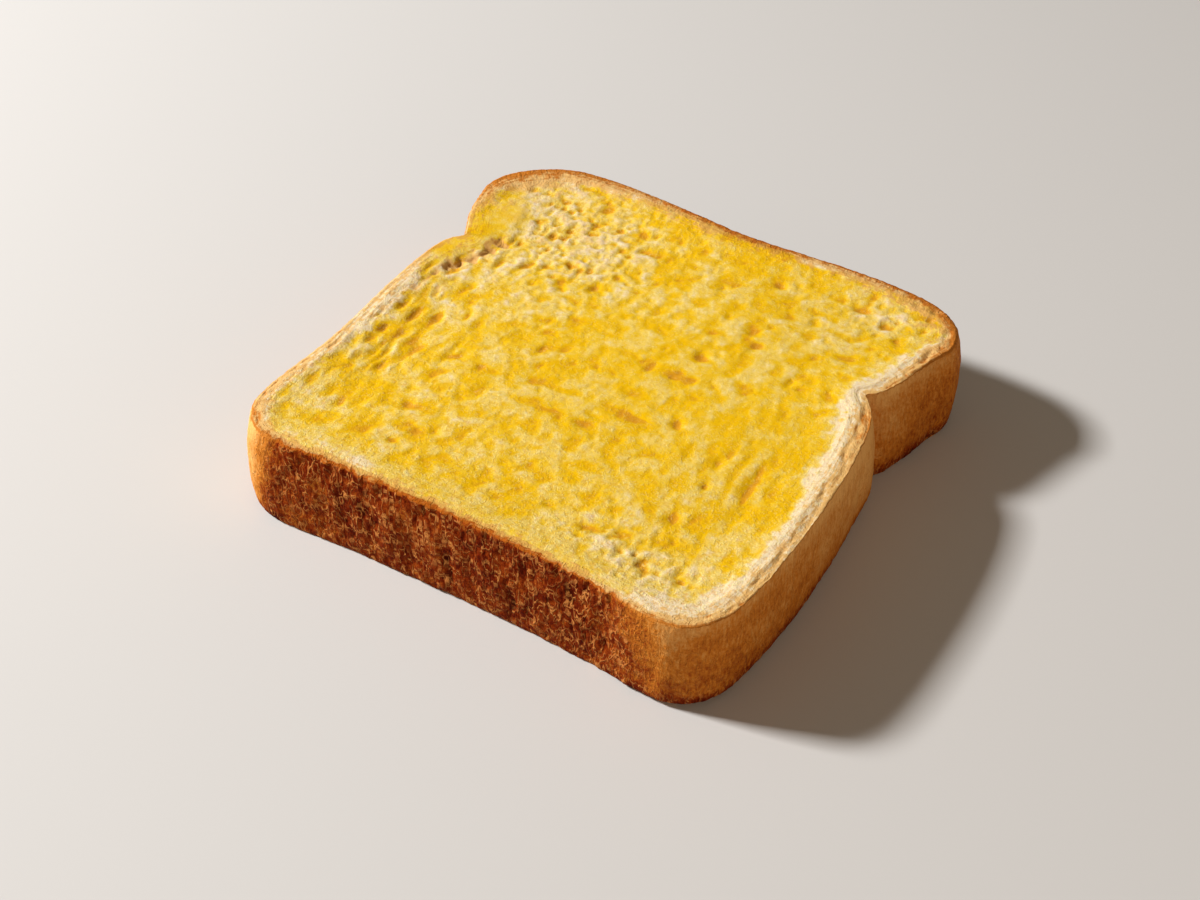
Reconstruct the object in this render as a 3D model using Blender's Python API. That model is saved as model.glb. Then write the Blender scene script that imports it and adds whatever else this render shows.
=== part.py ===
"""A thick slice of buttered toast, lying on its cut face.

The slice comes from a square sandwich loaf. Its outline has a flat base with round corners, two
nearly upright sides, a pinched notch high on each side and a crown with a round lobe at each end.
The slice is one solid: the brown crust is the outside of the same bread. The upper cut face is
dished a little inside a smooth lip and covered with shallow hollows of the open crumb.

The frame is in metres with +Z up. X runs along the base, Y from the base to the crown, and the
origin is the centre of the face that the slice rests on.
"""

import math

import bmesh
import bpy
import numpy as np
from mathutils import Vector, noise

MM = 0.001

# Driving sizes in millimetres.
THICKNESS = 24.4
MIDDLE_X = 1.0
MIDDLE_Y = 55.8

# Knots of the outline in millimetres, from the middle of the base, counter-clockwise seen from above.
# The body runs from the left notch round the base to the right notch.
BODY_KNOTS = (
    (-53.3, 76.6),
    (-55.8, 73.2),
    (-57.2, 66.0),
    (-57.3, 52.0),
    (-56.5, 32.0),
    (-57.8, 12.2),
    (-56.5, 4.8),
    (-52.2, 0.0),
    (-45.0, -1.5),
    (-27.0, -0.6),
    (2.0, 0.3),
    (27.0, 0.1),
    (43.5, -1.4),
    (51.2, 0.9),
    (55.7, 6.8),
    (57.6, 17.0),
    (58.5, 34.0),
    (58.0, 52.0),
    (56.5, 64.5),
    (54.2, 71.2),
    (51.0, 75.2),
)
# The dome runs from the right notch over the crown to the left notch.
DOME_KNOTS = (
    (51.0, 75.2),
    (54.0, 78.6),
    (56.8, 86.0),
    (58.8, 93.0),
    (60.8, 99.0),
    (58.7, 105.6),
    (52.8, 110.2),
    (44.0, 112.1),
    (30.0, 112.6),
    (4.0, 111.4),
    (-12.0, 112.7),
    (-30.0, 113.8),
    (-43.0, 113.0),
    (-51.5, 109.2),
    (-57.6, 103.4),
    (-60.0, 97.2),
    (-59.0, 90.5),
    (-57.1, 84.0),
    (-54.8, 79.8),
    (-53.3, 76.6),
)
# Where the four corners of the square grid go on the outline, on the round of each corner.
GRID_CORNERS = ((-54.0, 2.8), (54.0, 3.4), (57.2, 107.4), (-54.8, 106.4))

COLUMNS = 58
ROWS = 56

# The wall: heights of its rings, and the rounds at its foot and brim.
WALL_HEIGHTS = (0.8, 2.4, 7.0, 12.2, 17.0, 21.0, 23.5)
FOOT_HEIGHT = 2.4
BRIM_INSET = 1.3
BRIM_HEIGHT = 1.6

# How the wall stands, by the direction from the slice's middle in degrees. The columns are how far it
# stands outside the outline halfway up and at its foot, and how far the foot's round cuts in.
WALL_STANCE = (
    (-180.0, 0.4, 0.2, 0.6),
    (-165.0, 0.9, 0.4, 0.7),
    (-150.0, 2.0, 1.2, 0.9),
    (-138.0, 2.5, 1.9, 1.1),
    (-130.0, 1.6, 1.3, 0.9),
    (-122.0, 0.6, 0.3, 0.5),
    (-62.0, 0.4, 0.2, 0.6),
    (-52.0, 0.5, 0.0, 1.6),
    (-44.0, 0.6, 0.0, 2.2),
    (-35.0, 0.5, 0.1, 1.4),
    (-25.0, 0.5, 0.3, 0.6),
    (5.0, 0.7, 0.4, 0.6),
    (11.0, 1.6, 1.0, 0.6),
    (15.5, 2.0, 2.2, 0.6),
    (20.6, 2.2, 3.0, 0.6),
    (24.0, 1.8, 2.2, 0.7),
    (30.0, 1.4, 1.9, 0.7),
    (36.0, 1.8, 1.2, 0.9),
    (42.0, 2.2, 0.9, 1.1),
    (48.0, 1.4, 0.6, 0.9),
    (56.0, 0.5, 0.3, 0.6),
    (180.0, 0.4, 0.2, 0.6),
)

# The base crust is wrinkled across its width, and the whole crust has low waves.
WRINKLE_DEPTH = 0.7
WRINKLE_PITCH = 4.4
WRINKLE_LENGTH = 22.0
WAVE_DEPTH = 0.3
WAVE_LENGTH = 13.0
BASE_WALL_Y = (-48.0, -53.5)
BASE_WALL_X = (53.0, 44.0)

# The upper cut face, by distance from the outline: a lip, then a dish with broad low swells.
LIP_HEIGHT = 0.35
LIP_MIDDLE = 3.2
LIP_SPREAD = 1.9
DISH_DEPTH = 0.8
DISH_START = 3.0
DISH_END = 16.0
SWELL_HEIGHT = 0.35
SWELL_LENGTH = 26.0
SWELL_END = 8.0

# The crumb's cells are longer along Y, the way that the dough rose.
CELL_WIDTH = 3.9
CELL_LENGTH = 5.4
CELL_BEND = 1.3
CELL_BEND_LENGTH = 7.0
HOLLOW_DEPTH = 1.7
HOLLOW_SPREAD = 0.42
HOLLOW_START = 2.4
HOLLOW_END = 6.5

# How open the crumb is: everywhere, and what is added at the left, the crown and the front right.
PLAIN_OPENNESS = 0.4
LEFT_OPENNESS = 0.45
LEFT_RUN = (10.0, -50.0)
CROWN_OPENNESS = 0.25
CROWN_RUN = (-20.0, 50.0)
PATCH_OPENNESS = 0.35
PATCH_MIDDLE = (38.0, -45.0)
PATCH_REACH = (13.0, 8.0)
# The strip beside the base crust is smoother.
STRIP_CLOSING = 0.5
STRIP_RUN = (-49.0, -53.0)

CRUMB_COLOUR = (0.86, 0.60, 0.16, 1.0)
CRUST_COLOUR = (0.42, 0.16, 0.04, 1.0)
CUT_FACE_SLOPE = 0.6
SHARP_ANGLE = 50.0


def clear_scene():
    for obj in list(bpy.data.objects):
        bpy.data.objects.remove(obj)


def smooth_step(low, high, value):
    t = np.clip((value - low) / (high - low), 0.0, 1.0)
    return t * t * (3.0 - 2.0 * t)


def smooth_run(knots, steps=40):
    """Points along a smooth open curve that passes through every knot."""
    pts = np.array(knots, float)
    ends = np.vstack([2 * pts[0] - pts[1], pts, 2 * pts[-1] - pts[-2]])
    t = np.linspace(0.0, 1.0, steps, endpoint=False)[:, None]
    runs = []
    for a, b, c, d in zip(ends, ends[1:], ends[2:], ends[3:]):
        bend = 2 * a - 5 * b + 4 * c - d
        twist = 3 * b - a - 3 * c + d
        runs.append(0.5 * (2 * b + (c - a) * t + bend * t**2 + twist * t**3))
    return np.vstack(runs)


def outline_loop():
    """The closed outline in millimetres, counter-clockwise, centred on the slice."""
    loop = np.vstack([smooth_run(BODY_KNOTS), smooth_run(DOME_KNOTS)])
    return loop - (MIDDLE_X, MIDDLE_Y)


def between(loop, start, end, count):
    """count + 1 evenly spaced points of the closed loop, from point number start on to number end."""
    if end <= start:
        end += len(loop)
    run = loop[np.arange(start, end + 1) % len(loop)]
    along = np.concatenate([[0.0], np.cumsum(np.linalg.norm(np.diff(run, axis=0), axis=1))])
    at = np.linspace(0.0, along[-1], count + 1)
    return np.stack([np.interp(at, along, run[:, k]) for k in range(2)], axis=1)


def grid_sides():
    """The outline cut at the four grid corners: base, right side, crown and left side."""
    loop = outline_loop()
    corners = np.array(GRID_CORNERS) - (MIDDLE_X, MIDDLE_Y)
    at = [int(np.argmin(np.linalg.norm(loop - c, axis=1))) for c in corners]
    base = between(loop, at[0], at[1], COLUMNS)
    right = between(loop, at[1], at[2], ROWS)
    crown = between(loop, at[2], at[3], COLUMNS)[::-1]
    left = between(loop, at[3], at[0], ROWS)[::-1]
    return base, right, crown, left


def fade(t):
    """How much of a side's shape is left at the share t of the way to the opposite side."""
    return (1.0 - t) ** 3


def slice_grid():
    """Places of the grid's points, [row, column], in millimetres. Its border lies on the outline."""
    base, right, crown, left = grid_sides()
    u = np.linspace(0.0, 1.0, COLUMNS + 1)[None, :, None]
    v = np.linspace(0.0, 1.0, ROWS + 1)[:, None, None]
    low = (1 - u) * base[0] + u * base[-1]
    high = (1 - u) * crown[0] + u * crown[-1]
    plain = (1 - v) * low + v * high
    return (
        plain
        + fade(v) * (base - plain[0])[None]
        + fade(1 - v) * (crown - plain[-1])[None]
        + fade(u) * (left - plain[:, 0])[:, None]
        + fade(1 - u) * (right - plain[:, -1])[:, None]
    )


def edge_distance(points):
    """Distance in millimetres from each point to the outline."""
    loop = outline_loop()[::4]
    return np.array([np.min(np.hypot(*(loop - p).T)) for p in points])


def broad_noise(x, y, length, seed):
    return np.array([noise.noise(Vector((a / length, b / length, seed))) for a, b in zip(x, y)])


def open_crumb(x, y):
    """How coarse the crumb is at a place, from 0, closed, to 1. It is coarser towards the crown's left."""
    left = LEFT_OPENNESS * smooth_step(*LEFT_RUN, x)
    crown = CROWN_OPENNESS * smooth_step(*CROWN_RUN, y)
    from_patch_x = (x - PATCH_MIDDLE[0]) / PATCH_REACH[0]
    from_patch_y = (y - PATCH_MIDDLE[1]) / PATCH_REACH[1]
    patch = PATCH_OPENNESS * np.exp(-(from_patch_x**2) - from_patch_y**2)
    strip = STRIP_CLOSING * smooth_step(*STRIP_RUN, y)
    return np.clip(PLAIN_OPENNESS + left + crown + patch - strip, 0.0, 1.0)


def hollows(x, y):
    """The open cells of the crumb: one shallow bowl in each cell, of uneven depth."""
    bent_x = x + CELL_BEND * broad_noise(x, y, CELL_BEND_LENGTH, 11.3)
    bent_y = y + CELL_BEND * broad_noise(x, y, CELL_BEND_LENGTH, 23.9)
    depths = np.empty(len(x))
    for i, (a, b) in enumerate(zip(bent_x / CELL_WIDTH, bent_y / CELL_LENGTH)):
        near, cells = noise.voronoi(Vector((a, b, 0.35)), distance_metric="DISTANCE")
        share = noise.cell(Vector(cells[0]) * 7.31)
        depths[i] = math.exp(-((near[0] / HOLLOW_SPREAD) ** 2)) * (0.15 + 0.85 * share * share)
    return HOLLOW_DEPTH * depths * open_crumb(x, y)


def upper_face_height(x, y, edge):
    """Height of the upper cut face above its plane, in millimetres."""
    lip = LIP_HEIGHT * np.exp(-(((edge - LIP_MIDDLE) / LIP_SPREAD) ** 2))
    dish = DISH_DEPTH * smooth_step(DISH_START, DISH_END, edge)
    swell = SWELL_HEIGHT * broad_noise(x, y, SWELL_LENGTH, 3.7) * smooth_step(0.0, SWELL_END, edge)
    crumb = hollows(x, y) * smooth_step(HOLLOW_START, HOLLOW_END, edge)
    return lip - dish + swell - crumb


def quarter_round(distance, reach):
    """From 1 at the end of the wall down to 0 at the reach away from it, along a quarter circle."""
    t = min(1.0, distance / reach)
    return 1.0 - math.sqrt(max(0.0, 1.0 - (1.0 - t) ** 2))


def wall_move(x, y, height, inward):
    """The vector from a place on the outline to the wall at a height: its lean, its rounds and its relief."""
    table = np.array(WALL_STANCE)
    turn = math.degrees(math.atan2(y, x))
    halfway, foot, foot_round = [np.interp(turn, table[:, 0], table[:, k]) for k in (1, 2, 3)]
    down = 1.0 - height / THICKNESS
    lean = 4.0 * halfway * down * (1.0 - down) + foot * down * (2.0 * down - 1.0)
    inset = foot_round * quarter_round(height, FOOT_HEIGHT)
    inset += BRIM_INSET * quarter_round(THICKNESS - height, BRIM_HEIGHT)
    outward = np.array((x, y)) / math.hypot(x, y)
    return lean * outward + (inset - crust_relief(x, y, height)) * inward


def crust_relief(x, y, height):
    """Outward relief of the crust in millimetres: wrinkles on the base, low waves elsewhere."""
    on_base = float(smooth_step(*BASE_WALL_Y, y) * smooth_step(*BASE_WALL_X, abs(x)))
    wrinkle = noise.noise(Vector((x / WRINKLE_PITCH, height / WRINKLE_LENGTH, 1.9)))
    wave = noise.noise(Vector((x, y, height)) / WAVE_LENGTH)
    middle = math.sin(math.pi * height / THICKNESS)
    return middle * (on_base * WRINKLE_DEPTH * wrinkle + WAVE_DEPTH * wave)


def square_slab():
    """A grid of the upper face's columns and rows, extruded to a closed slab and cut at each wall height."""
    bpy.ops.mesh.primitive_grid_add(x_subdivisions=COLUMNS, y_subdivisions=ROWS, size=2.0)
    slab = bpy.context.object
    bpy.ops.object.mode_set(mode="EDIT")
    bpy.ops.mesh.select_all(action="SELECT")
    bpy.ops.mesh.extrude_region_move(TRANSFORM_OT_translate={"value": (0.0, 0.0, THICKNESS)})
    for height in WALL_HEIGHTS:
        bpy.ops.mesh.select_all(action="SELECT")
        bpy.ops.mesh.bisect(plane_co=(0.0, 0.0, height), plane_no=(0.0, 0.0, 1.0))
    bpy.ops.mesh.select_all(action="SELECT")
    bpy.ops.mesh.normals_make_consistent(inside=False)
    bpy.ops.object.mode_set(mode="OBJECT")
    return slab


def merge_underside(mesh):
    """Joins the underside's squares into the one flat face that the slice rests on."""
    work = bmesh.new()
    work.from_mesh(mesh)
    under = [f for f in work.faces if all(abs(v.co.z) < 1e-6 for v in f.verts)]
    bmesh.ops.dissolve_faces(work, faces=under, use_verts=True)
    work.to_mesh(mesh)
    work.free()


def inward_normals(grid):
    """For each border point of the grid, by (row, column), the unit vector that points into the slice."""
    cells = [(0, c) for c in range(COLUMNS)]
    cells += [(r, COLUMNS) for r in range(ROWS)]
    cells += [(ROWS, c) for c in range(COLUMNS, 0, -1)]
    cells += [(r, 0) for r in range(ROWS, 0, -1)]
    loop = np.array([grid[cell] for cell in cells])
    along = np.roll(loop, -1, axis=0) - np.roll(loop, 1, axis=0)
    inward = np.stack([-along[:, 1], along[:, 0]], axis=1)
    inward /= np.linalg.norm(inward, axis=1)[:, None]
    return dict(zip(cells, inward))


def shape_slab(mesh):
    """Moves the square slab's points onto the slice, in metres."""
    grid = slice_grid()
    points = np.array([v.co[:] for v in mesh.vertices])
    column = np.rint((points[:, 0] + 1.0) / 2.0 * COLUMNS).astype(int)
    row = np.rint((points[:, 1] + 1.0) / 2.0 * ROWS).astype(int)
    height = points[:, 2].copy()
    place = grid[row, column]
    top = height > THICKNESS - 1e-4

    inward = inward_normals(grid)
    for i, cell in enumerate(zip(row, column)):
        if cell in inward:
            place[i] += wall_move(*place[i], height[i], inward[cell])
    edge = edge_distance(place[top])
    height[top] += upper_face_height(place[top, 0], place[top, 1], edge)
    moved = np.column_stack([place, height]) * MM
    mesh.vertices.foreach_set("co", moved.astype(np.float32).ravel())
    mesh.update()


def principled(name, colour, roughness):
    material = bpy.data.materials.new(name)
    material.use_nodes = True
    shader = material.node_tree.nodes["Principled BSDF"]
    shader.inputs["Base Color"].default_value = colour
    shader.inputs["Roughness"].default_value = roughness
    shader.inputs["Metallic"].default_value = 0.0
    material.diffuse_color = colour
    return material


def toast_slice():
    """The whole slice as one closed solid."""
    toast = square_slab()
    toast.name = "toast_slice"
    toast.data.name = "toast_slice"
    merge_underside(toast.data)
    shape_slab(toast.data)
    toast.data.materials.append(principled("buttered_crumb", CRUMB_COLOUR, 0.45))
    toast.data.materials.append(principled("browned_crust", CRUST_COLOUR, 0.6))
    for face in toast.data.polygons:
        face.material_index = 0 if abs(face.normal.z) > CUT_FACE_SLOPE else 1
    toast.data.shade_smooth()
    toast.data.set_sharp_from_angle(angle=math.radians(SHARP_ANGLE))
    return toast


def main():
    clear_scene()
    slice_collection = bpy.data.collections.new("toast")
    bpy.context.scene.collection.children.link(slice_collection)
    toast = toast_slice()
    for owner in list(toast.users_collection):
        owner.objects.unlink(toast)
    slice_collection.objects.link(toast)


main()
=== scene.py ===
"""Looks of a thick slice of buttered toast, lying on its cut face.

The slice is one closed mesh. Its upper cut face is a dished, butter-soaked crumb with open cells, and
its side is the browned crust: dark, wrinkled and dry along the base, smooth and golden elsewhere. Masks
on the mesh say how deep a cell is, how much butter has soaked in and how far the crust has browned, and
the material turns them into colours.

Sizes are in millimetres unless a name says otherwise. The frame has +Z up, X along the base of the
slice and Y from the base to the crown. Tables of places are measured from the middle of the base, as
the outline's knots are.
"""

import math

import bpy
import numpy as np
from bpy.props import FloatProperty, FloatVectorProperty, PointerProperty
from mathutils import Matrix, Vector, kdtree, noise


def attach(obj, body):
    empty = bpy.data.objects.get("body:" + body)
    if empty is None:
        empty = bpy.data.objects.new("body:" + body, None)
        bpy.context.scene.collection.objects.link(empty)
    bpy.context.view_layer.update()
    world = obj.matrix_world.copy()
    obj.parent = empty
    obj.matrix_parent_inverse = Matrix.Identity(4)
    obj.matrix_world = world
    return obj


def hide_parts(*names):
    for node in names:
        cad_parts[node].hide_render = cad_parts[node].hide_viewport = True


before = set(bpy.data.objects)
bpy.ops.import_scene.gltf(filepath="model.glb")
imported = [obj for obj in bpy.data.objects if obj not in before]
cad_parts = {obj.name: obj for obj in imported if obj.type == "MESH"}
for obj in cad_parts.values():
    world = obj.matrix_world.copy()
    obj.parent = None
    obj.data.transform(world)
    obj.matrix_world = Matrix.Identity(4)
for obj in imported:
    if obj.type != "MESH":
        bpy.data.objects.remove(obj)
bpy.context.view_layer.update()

bl_info = {
    "name": "Buttered toast",
    "version": (1, 0, 0),
    "blender": (4, 5, 0),
    "location": "3D View > Sidebar > Toast",
    "description": "Builds a thick slice of buttered toast and its studio",
    "category": "Add Mesh",
}

MM = 0.001

# Driving sizes of the slice.
THICKNESS = 24.4
MIDDLE_X = 1.0
MIDDLE_Y = 55.8

# Knots of the outline, from the middle of the base, counter-clockwise seen from above.
# The body runs from the left notch round the base to the right notch.
BODY_KNOTS = (
    (-53.3, 76.6),
    (-55.8, 73.2),
    (-57.2, 66.0),
    (-57.3, 52.0),
    (-56.5, 32.0),
    (-57.8, 12.2),
    (-56.5, 4.8),
    (-52.2, 0.0),
    (-45.0, -1.5),
    (-27.0, -0.6),
    (2.0, 0.3),
    (27.0, 0.1),
    (43.5, -1.4),
    (51.2, 0.9),
    (55.7, 6.8),
    (57.6, 17.0),
    (58.5, 34.0),
    (58.0, 52.0),
    (56.5, 64.5),
    (54.2, 71.2),
    (51.0, 75.2),
)
# The dome runs from the right notch over the crown to the left notch.
DOME_KNOTS = (
    (51.0, 75.2),
    (54.0, 78.6),
    (56.8, 86.0),
    (58.8, 93.0),
    (60.8, 99.0),
    (58.7, 105.6),
    (52.8, 110.2),
    (44.0, 112.1),
    (30.0, 112.6),
    (4.0, 111.4),
    (-12.0, 112.7),
    (-30.0, 113.8),
    (-43.0, 113.0),
    (-51.5, 109.2),
    (-57.6, 103.4),
    (-60.0, 97.2),
    (-59.0, 90.5),
    (-57.1, 84.0),
    (-54.8, 79.8),
    (-53.3, 76.6),
)
# Where the four corners of the square grid go on the outline, on the round of each corner.
GRID_CORNERS = ((-54.0, 2.8), (54.0, 3.4), (57.2, 107.4), (-54.8, 106.4))

# The mesh: columns, rows and levels of the first slab. The upper face and the side are split in four
# each way, the underside and the level that it stands on in two. Beside the rim, whose layers are fine,
# the rows and columns lie closer together.
COLUMNS = 59
ROWS = 57
LEVELS = 9
FINE = 4
FOOT_LEVELS = 8
BRIM_LEVELS = 6
RIM_STEP = 0.62
RIM_RUN = (0.02, 0.10)

# Rounds at the foot and the brim of the side.
FOOT_HEIGHT = 2.4
BRIM_INSET = 1.3
BRIM_HEIGHT = 1.6

# How the wall stands, by the direction from the slice's middle in degrees. The columns are how far it
# stands outside the outline halfway up and at its foot, and how far the foot's round cuts in.
WALL_STANCE = (
    (-180.0, 0.4, 0.2, 0.6),
    (-165.0, 0.9, 0.4, 0.7),
    (-150.0, 2.0, 1.2, 0.9),
    (-138.0, 2.5, 1.9, 1.1),
    (-130.0, 1.6, 1.3, 0.9),
    (-122.0, 0.6, 0.3, 0.5),
    (-62.0, 0.4, 0.2, 0.6),
    (-52.0, 0.5, 0.0, 1.6),
    (-44.0, 0.6, 0.0, 2.2),
    (-35.0, 0.5, 0.1, 1.4),
    (-25.0, 0.5, 0.3, 0.6),
    (5.0, 0.7, 0.4, 0.6),
    (11.0, 1.6, 1.0, 0.6),
    (15.5, 2.0, 2.2, 0.6),
    (20.6, 2.2, 3.0, 0.6),
    (24.0, 1.8, 2.2, 0.7),
    (30.0, 1.4, 1.9, 0.7),
    (36.0, 1.8, 1.2, 0.9),
    (42.0, 2.2, 0.9, 1.1),
    (48.0, 1.4, 0.6, 0.9),
    (56.0, 0.5, 0.3, 0.6),
    (180.0, 0.4, 0.2, 0.6),
)

# The base crust is wrinkled across its width, and the whole crust has low waves.
WRINKLE_PITCH = 4.4
WRINKLE_LENGTH = 22.0
WAVE_DEPTH = 0.3
WAVE_LENGTH = 13.0
BASE_WALL_Y = (-48.0, -53.5)
BASE_WALL_X = (53.0, 44.0)

# Valleys that stand out in the base crust: place along it, height, half width, half height and depth.
BASE_VALLEYS = (
    (-43.0, 13.0, 3.6, 1.6, 0.35),
    (-39.0, 9.5, 1.0, 3.0, 0.45),
    (-28.5, 8.5, 1.3, 4.2, 0.45),
    (-24.6, 14.6, 0.9, 1.8, 0.50),
    (-21.0, 14.4, 1.0, 2.0, 0.45),
    (-12.6, 7.0, 0.7, 3.4, 0.50),
    (-4.0, 8.6, 0.8, 5.2, 0.85),
    (-10.4, 18.6, 0.7, 2.6, 0.40),
    (0.6, 20.0, 0.6, 2.2, 0.40),
    (5.2, 19.0, 0.6, 3.0, 0.40),
    (11.0, 10.6, 0.7, 5.0, 0.80),
    (13.4, 19.4, 0.7, 2.6, 0.55),
    (16.8, 18.6, 0.8, 3.0, 0.50),
    (15.4, 8.0, 0.6, 4.0, 0.45),
    (20.0, 13.0, 0.6, 3.0, 0.40),
    (24.6, 18.8, 0.9, 3.2, 0.60),
    (25.4, 8.8, 0.7, 3.8, 0.50),
    (28.6, 10.0, 0.6, 4.0, 0.45),
    (32.6, 8.0, 0.9, 2.2, 0.60),
    (32.0, 17.6, 0.9, 3.0, 0.45),
    (38.0, 13.2, 0.8, 1.6, 0.40),
)

# The upper cut face, by distance from the outline: a lip, then a dish with broad low swells.
LIP_HEIGHT = 0.25
LIP_MIDDLE = 3.2
LIP_SPREAD = 1.9
DISH_DEPTH = 0.8
DISH_START = 3.0
DISH_END = 16.0
SWELL_HEIGHT = 0.35
SWELL_LENGTH = 26.0
SWELL_END = 8.0

# The crumb's large cells are longer along Y, the way that the dough rose.
CELL_WIDTH = 3.9
CELL_LENGTH = 5.4
CELL_BEND = 1.3
CELL_BEND_LENGTH = 7.0
HOLLOW_SPREAD = 0.42
HOLLOW_START = 2.4
HOLLOW_END = 6.5

# How open the crumb is: everywhere, and what is added at the left, the crown and the front right.
PLAIN_OPENNESS = 0.4
LEFT_OPENNESS = 0.45
LEFT_RUN = (10.0, -50.0)
CROWN_OPENNESS = 0.25
CROWN_RUN = (-20.0, 50.0)
PATCH_OPENNESS = 0.35
PATCH_MIDDLE = (38.0, -45.0)
PATCH_REACH = (13.0, 8.0)
# The strip beside the base crust is smoother.
STRIP_CLOSING = 0.5
STRIP_RUN = (-49.0, -53.0)

# Finer layers of the crumb: soft dips where butter pools, round pores, streaks along the sides, long
# open cells at the left, the smallest pores, and the knobs between them.
DIP_SIZE = (3.6, 3.4)
SIDE_DIP_SIZE = (2.3, 6.8)
DIP_DEPTH = 0.15
PORE_SIZE = (2.1, 2.7)
STREAK_SIZE = (1.6, 5.2)
LONG_CELL_SIZE = (3.3, 8.6)
LONG_CELL_DEPTH = 0.7
PIN_SIZE = (1.8, 1.6)
PIN_DEPTH = 0.7
KNOB_SIZE = 2.0
KNOB_HEIGHT = 0.17
# Layers of dry crumb that run along the rim.
LAYER_HEIGHT = 0.2

# What changes round the slice, by the direction from its middle in degrees. The columns are how far in
# from the outline the butter starts, how toasted the upper face is at its edge, how far in the toasting
# reaches, how brown the crust is, from 0 to 1, and how round the brim is.
ROUND_THE_SLICE = (
    (-180.0, 6.0, 0.34, 3.0, 0.34, 0.50),
    (-160.0, 5.8, 0.34, 3.2, 0.30, 0.50),
    (-150.0, 3.4, 0.42, 3.8, 0.22, 0.50),
    (-141.0, 3.2, 0.50, 3.0, 0.16, 0.50),
    (-137.0, 4.0, 0.80, 2.6, 0.14, 0.50),
    (-133.5, 2.6, 0.86, 2.3, 0.22, 0.50),
    (-131.0, 1.8, 0.92, 2.1, 0.50, 0.50),
    (-129.0, 1.4, 0.92, 2.0, 0.72, 0.50),
    (-118.0, 0.8, 0.92, 1.9, 0.78, 0.50),
    (-108.0, 0.2, 0.94, 1.8, 0.78, 0.50),
    (-80.0, 0.2, 0.94, 1.6, 0.77, 0.50),
    (-66.0, 0.2, 0.80, 1.4, 0.82, 0.50),
    (-57.0, 1.6, 0.74, 1.3, 0.64, 0.50),
    (-52.0, 5.8, 0.74, 1.8, 0.37, 0.40),
    (-44.0, 6.8, 0.68, 2.2, 0.42, 0.24),
    (-36.0, 5.0, 0.38, 3.0, 0.40, 0.12),
    (-22.0, 4.8, 0.32, 3.2, 0.33, 0.12),
    (-8.0, 6.6, 0.46, 3.4, 0.23, 0.12),
    (5.0, 7.2, 0.56, 3.4, 0.18, 0.12),
    (12.0, 7.6, 0.84, 3.4, 0.16, 0.12),
    (17.0, 6.2, 0.64, 2.4, 0.18, 0.14),
    (20.6, 4.6, 0.36, 1.0, 0.28, 0.18),
    (25.0, 4.8, 0.62, 1.8, 0.30, 0.22),
    (33.0, 5.0, 0.80, 2.6, 0.42, 0.30),
    (38.0, 4.0, 0.94, 3.4, 0.46, 0.40),
    (45.0, 1.0, 1.00, 4.6, 0.51, 0.50),
    (52.0, 2.4, 0.94, 3.4, 0.56, 0.50),
    (68.0, 3.4, 0.90, 2.8, 0.54, 0.50),
    (82.0, 0.6, 1.00, 3.4, 0.60, 0.50),
    (104.0, 0.4, 0.94, 3.4, 0.60, 0.50),
    (115.0, 3.6, 0.72, 3.2, 0.50, 0.50),
    (128.0, 5.0, 0.88, 4.6, 0.48, 0.50),
    (140.0, 6.4, 1.00, 6.4, 0.46, 0.50),
    (149.0, 2.0, 0.76, 3.0, 0.40, 0.50),
    (154.0, 0.4, 0.42, 1.6, 0.34, 0.50),
    (163.0, 0.4, 0.44, 1.5, 0.34, 0.50),
    (172.0, 0.5, 0.62, 2.0, 0.38, 0.50),
    (176.0, 3.4, 0.42, 2.6, 0.36, 0.50),
    (180.0, 6.0, 0.34, 3.0, 0.34, 0.50),
)

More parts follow.
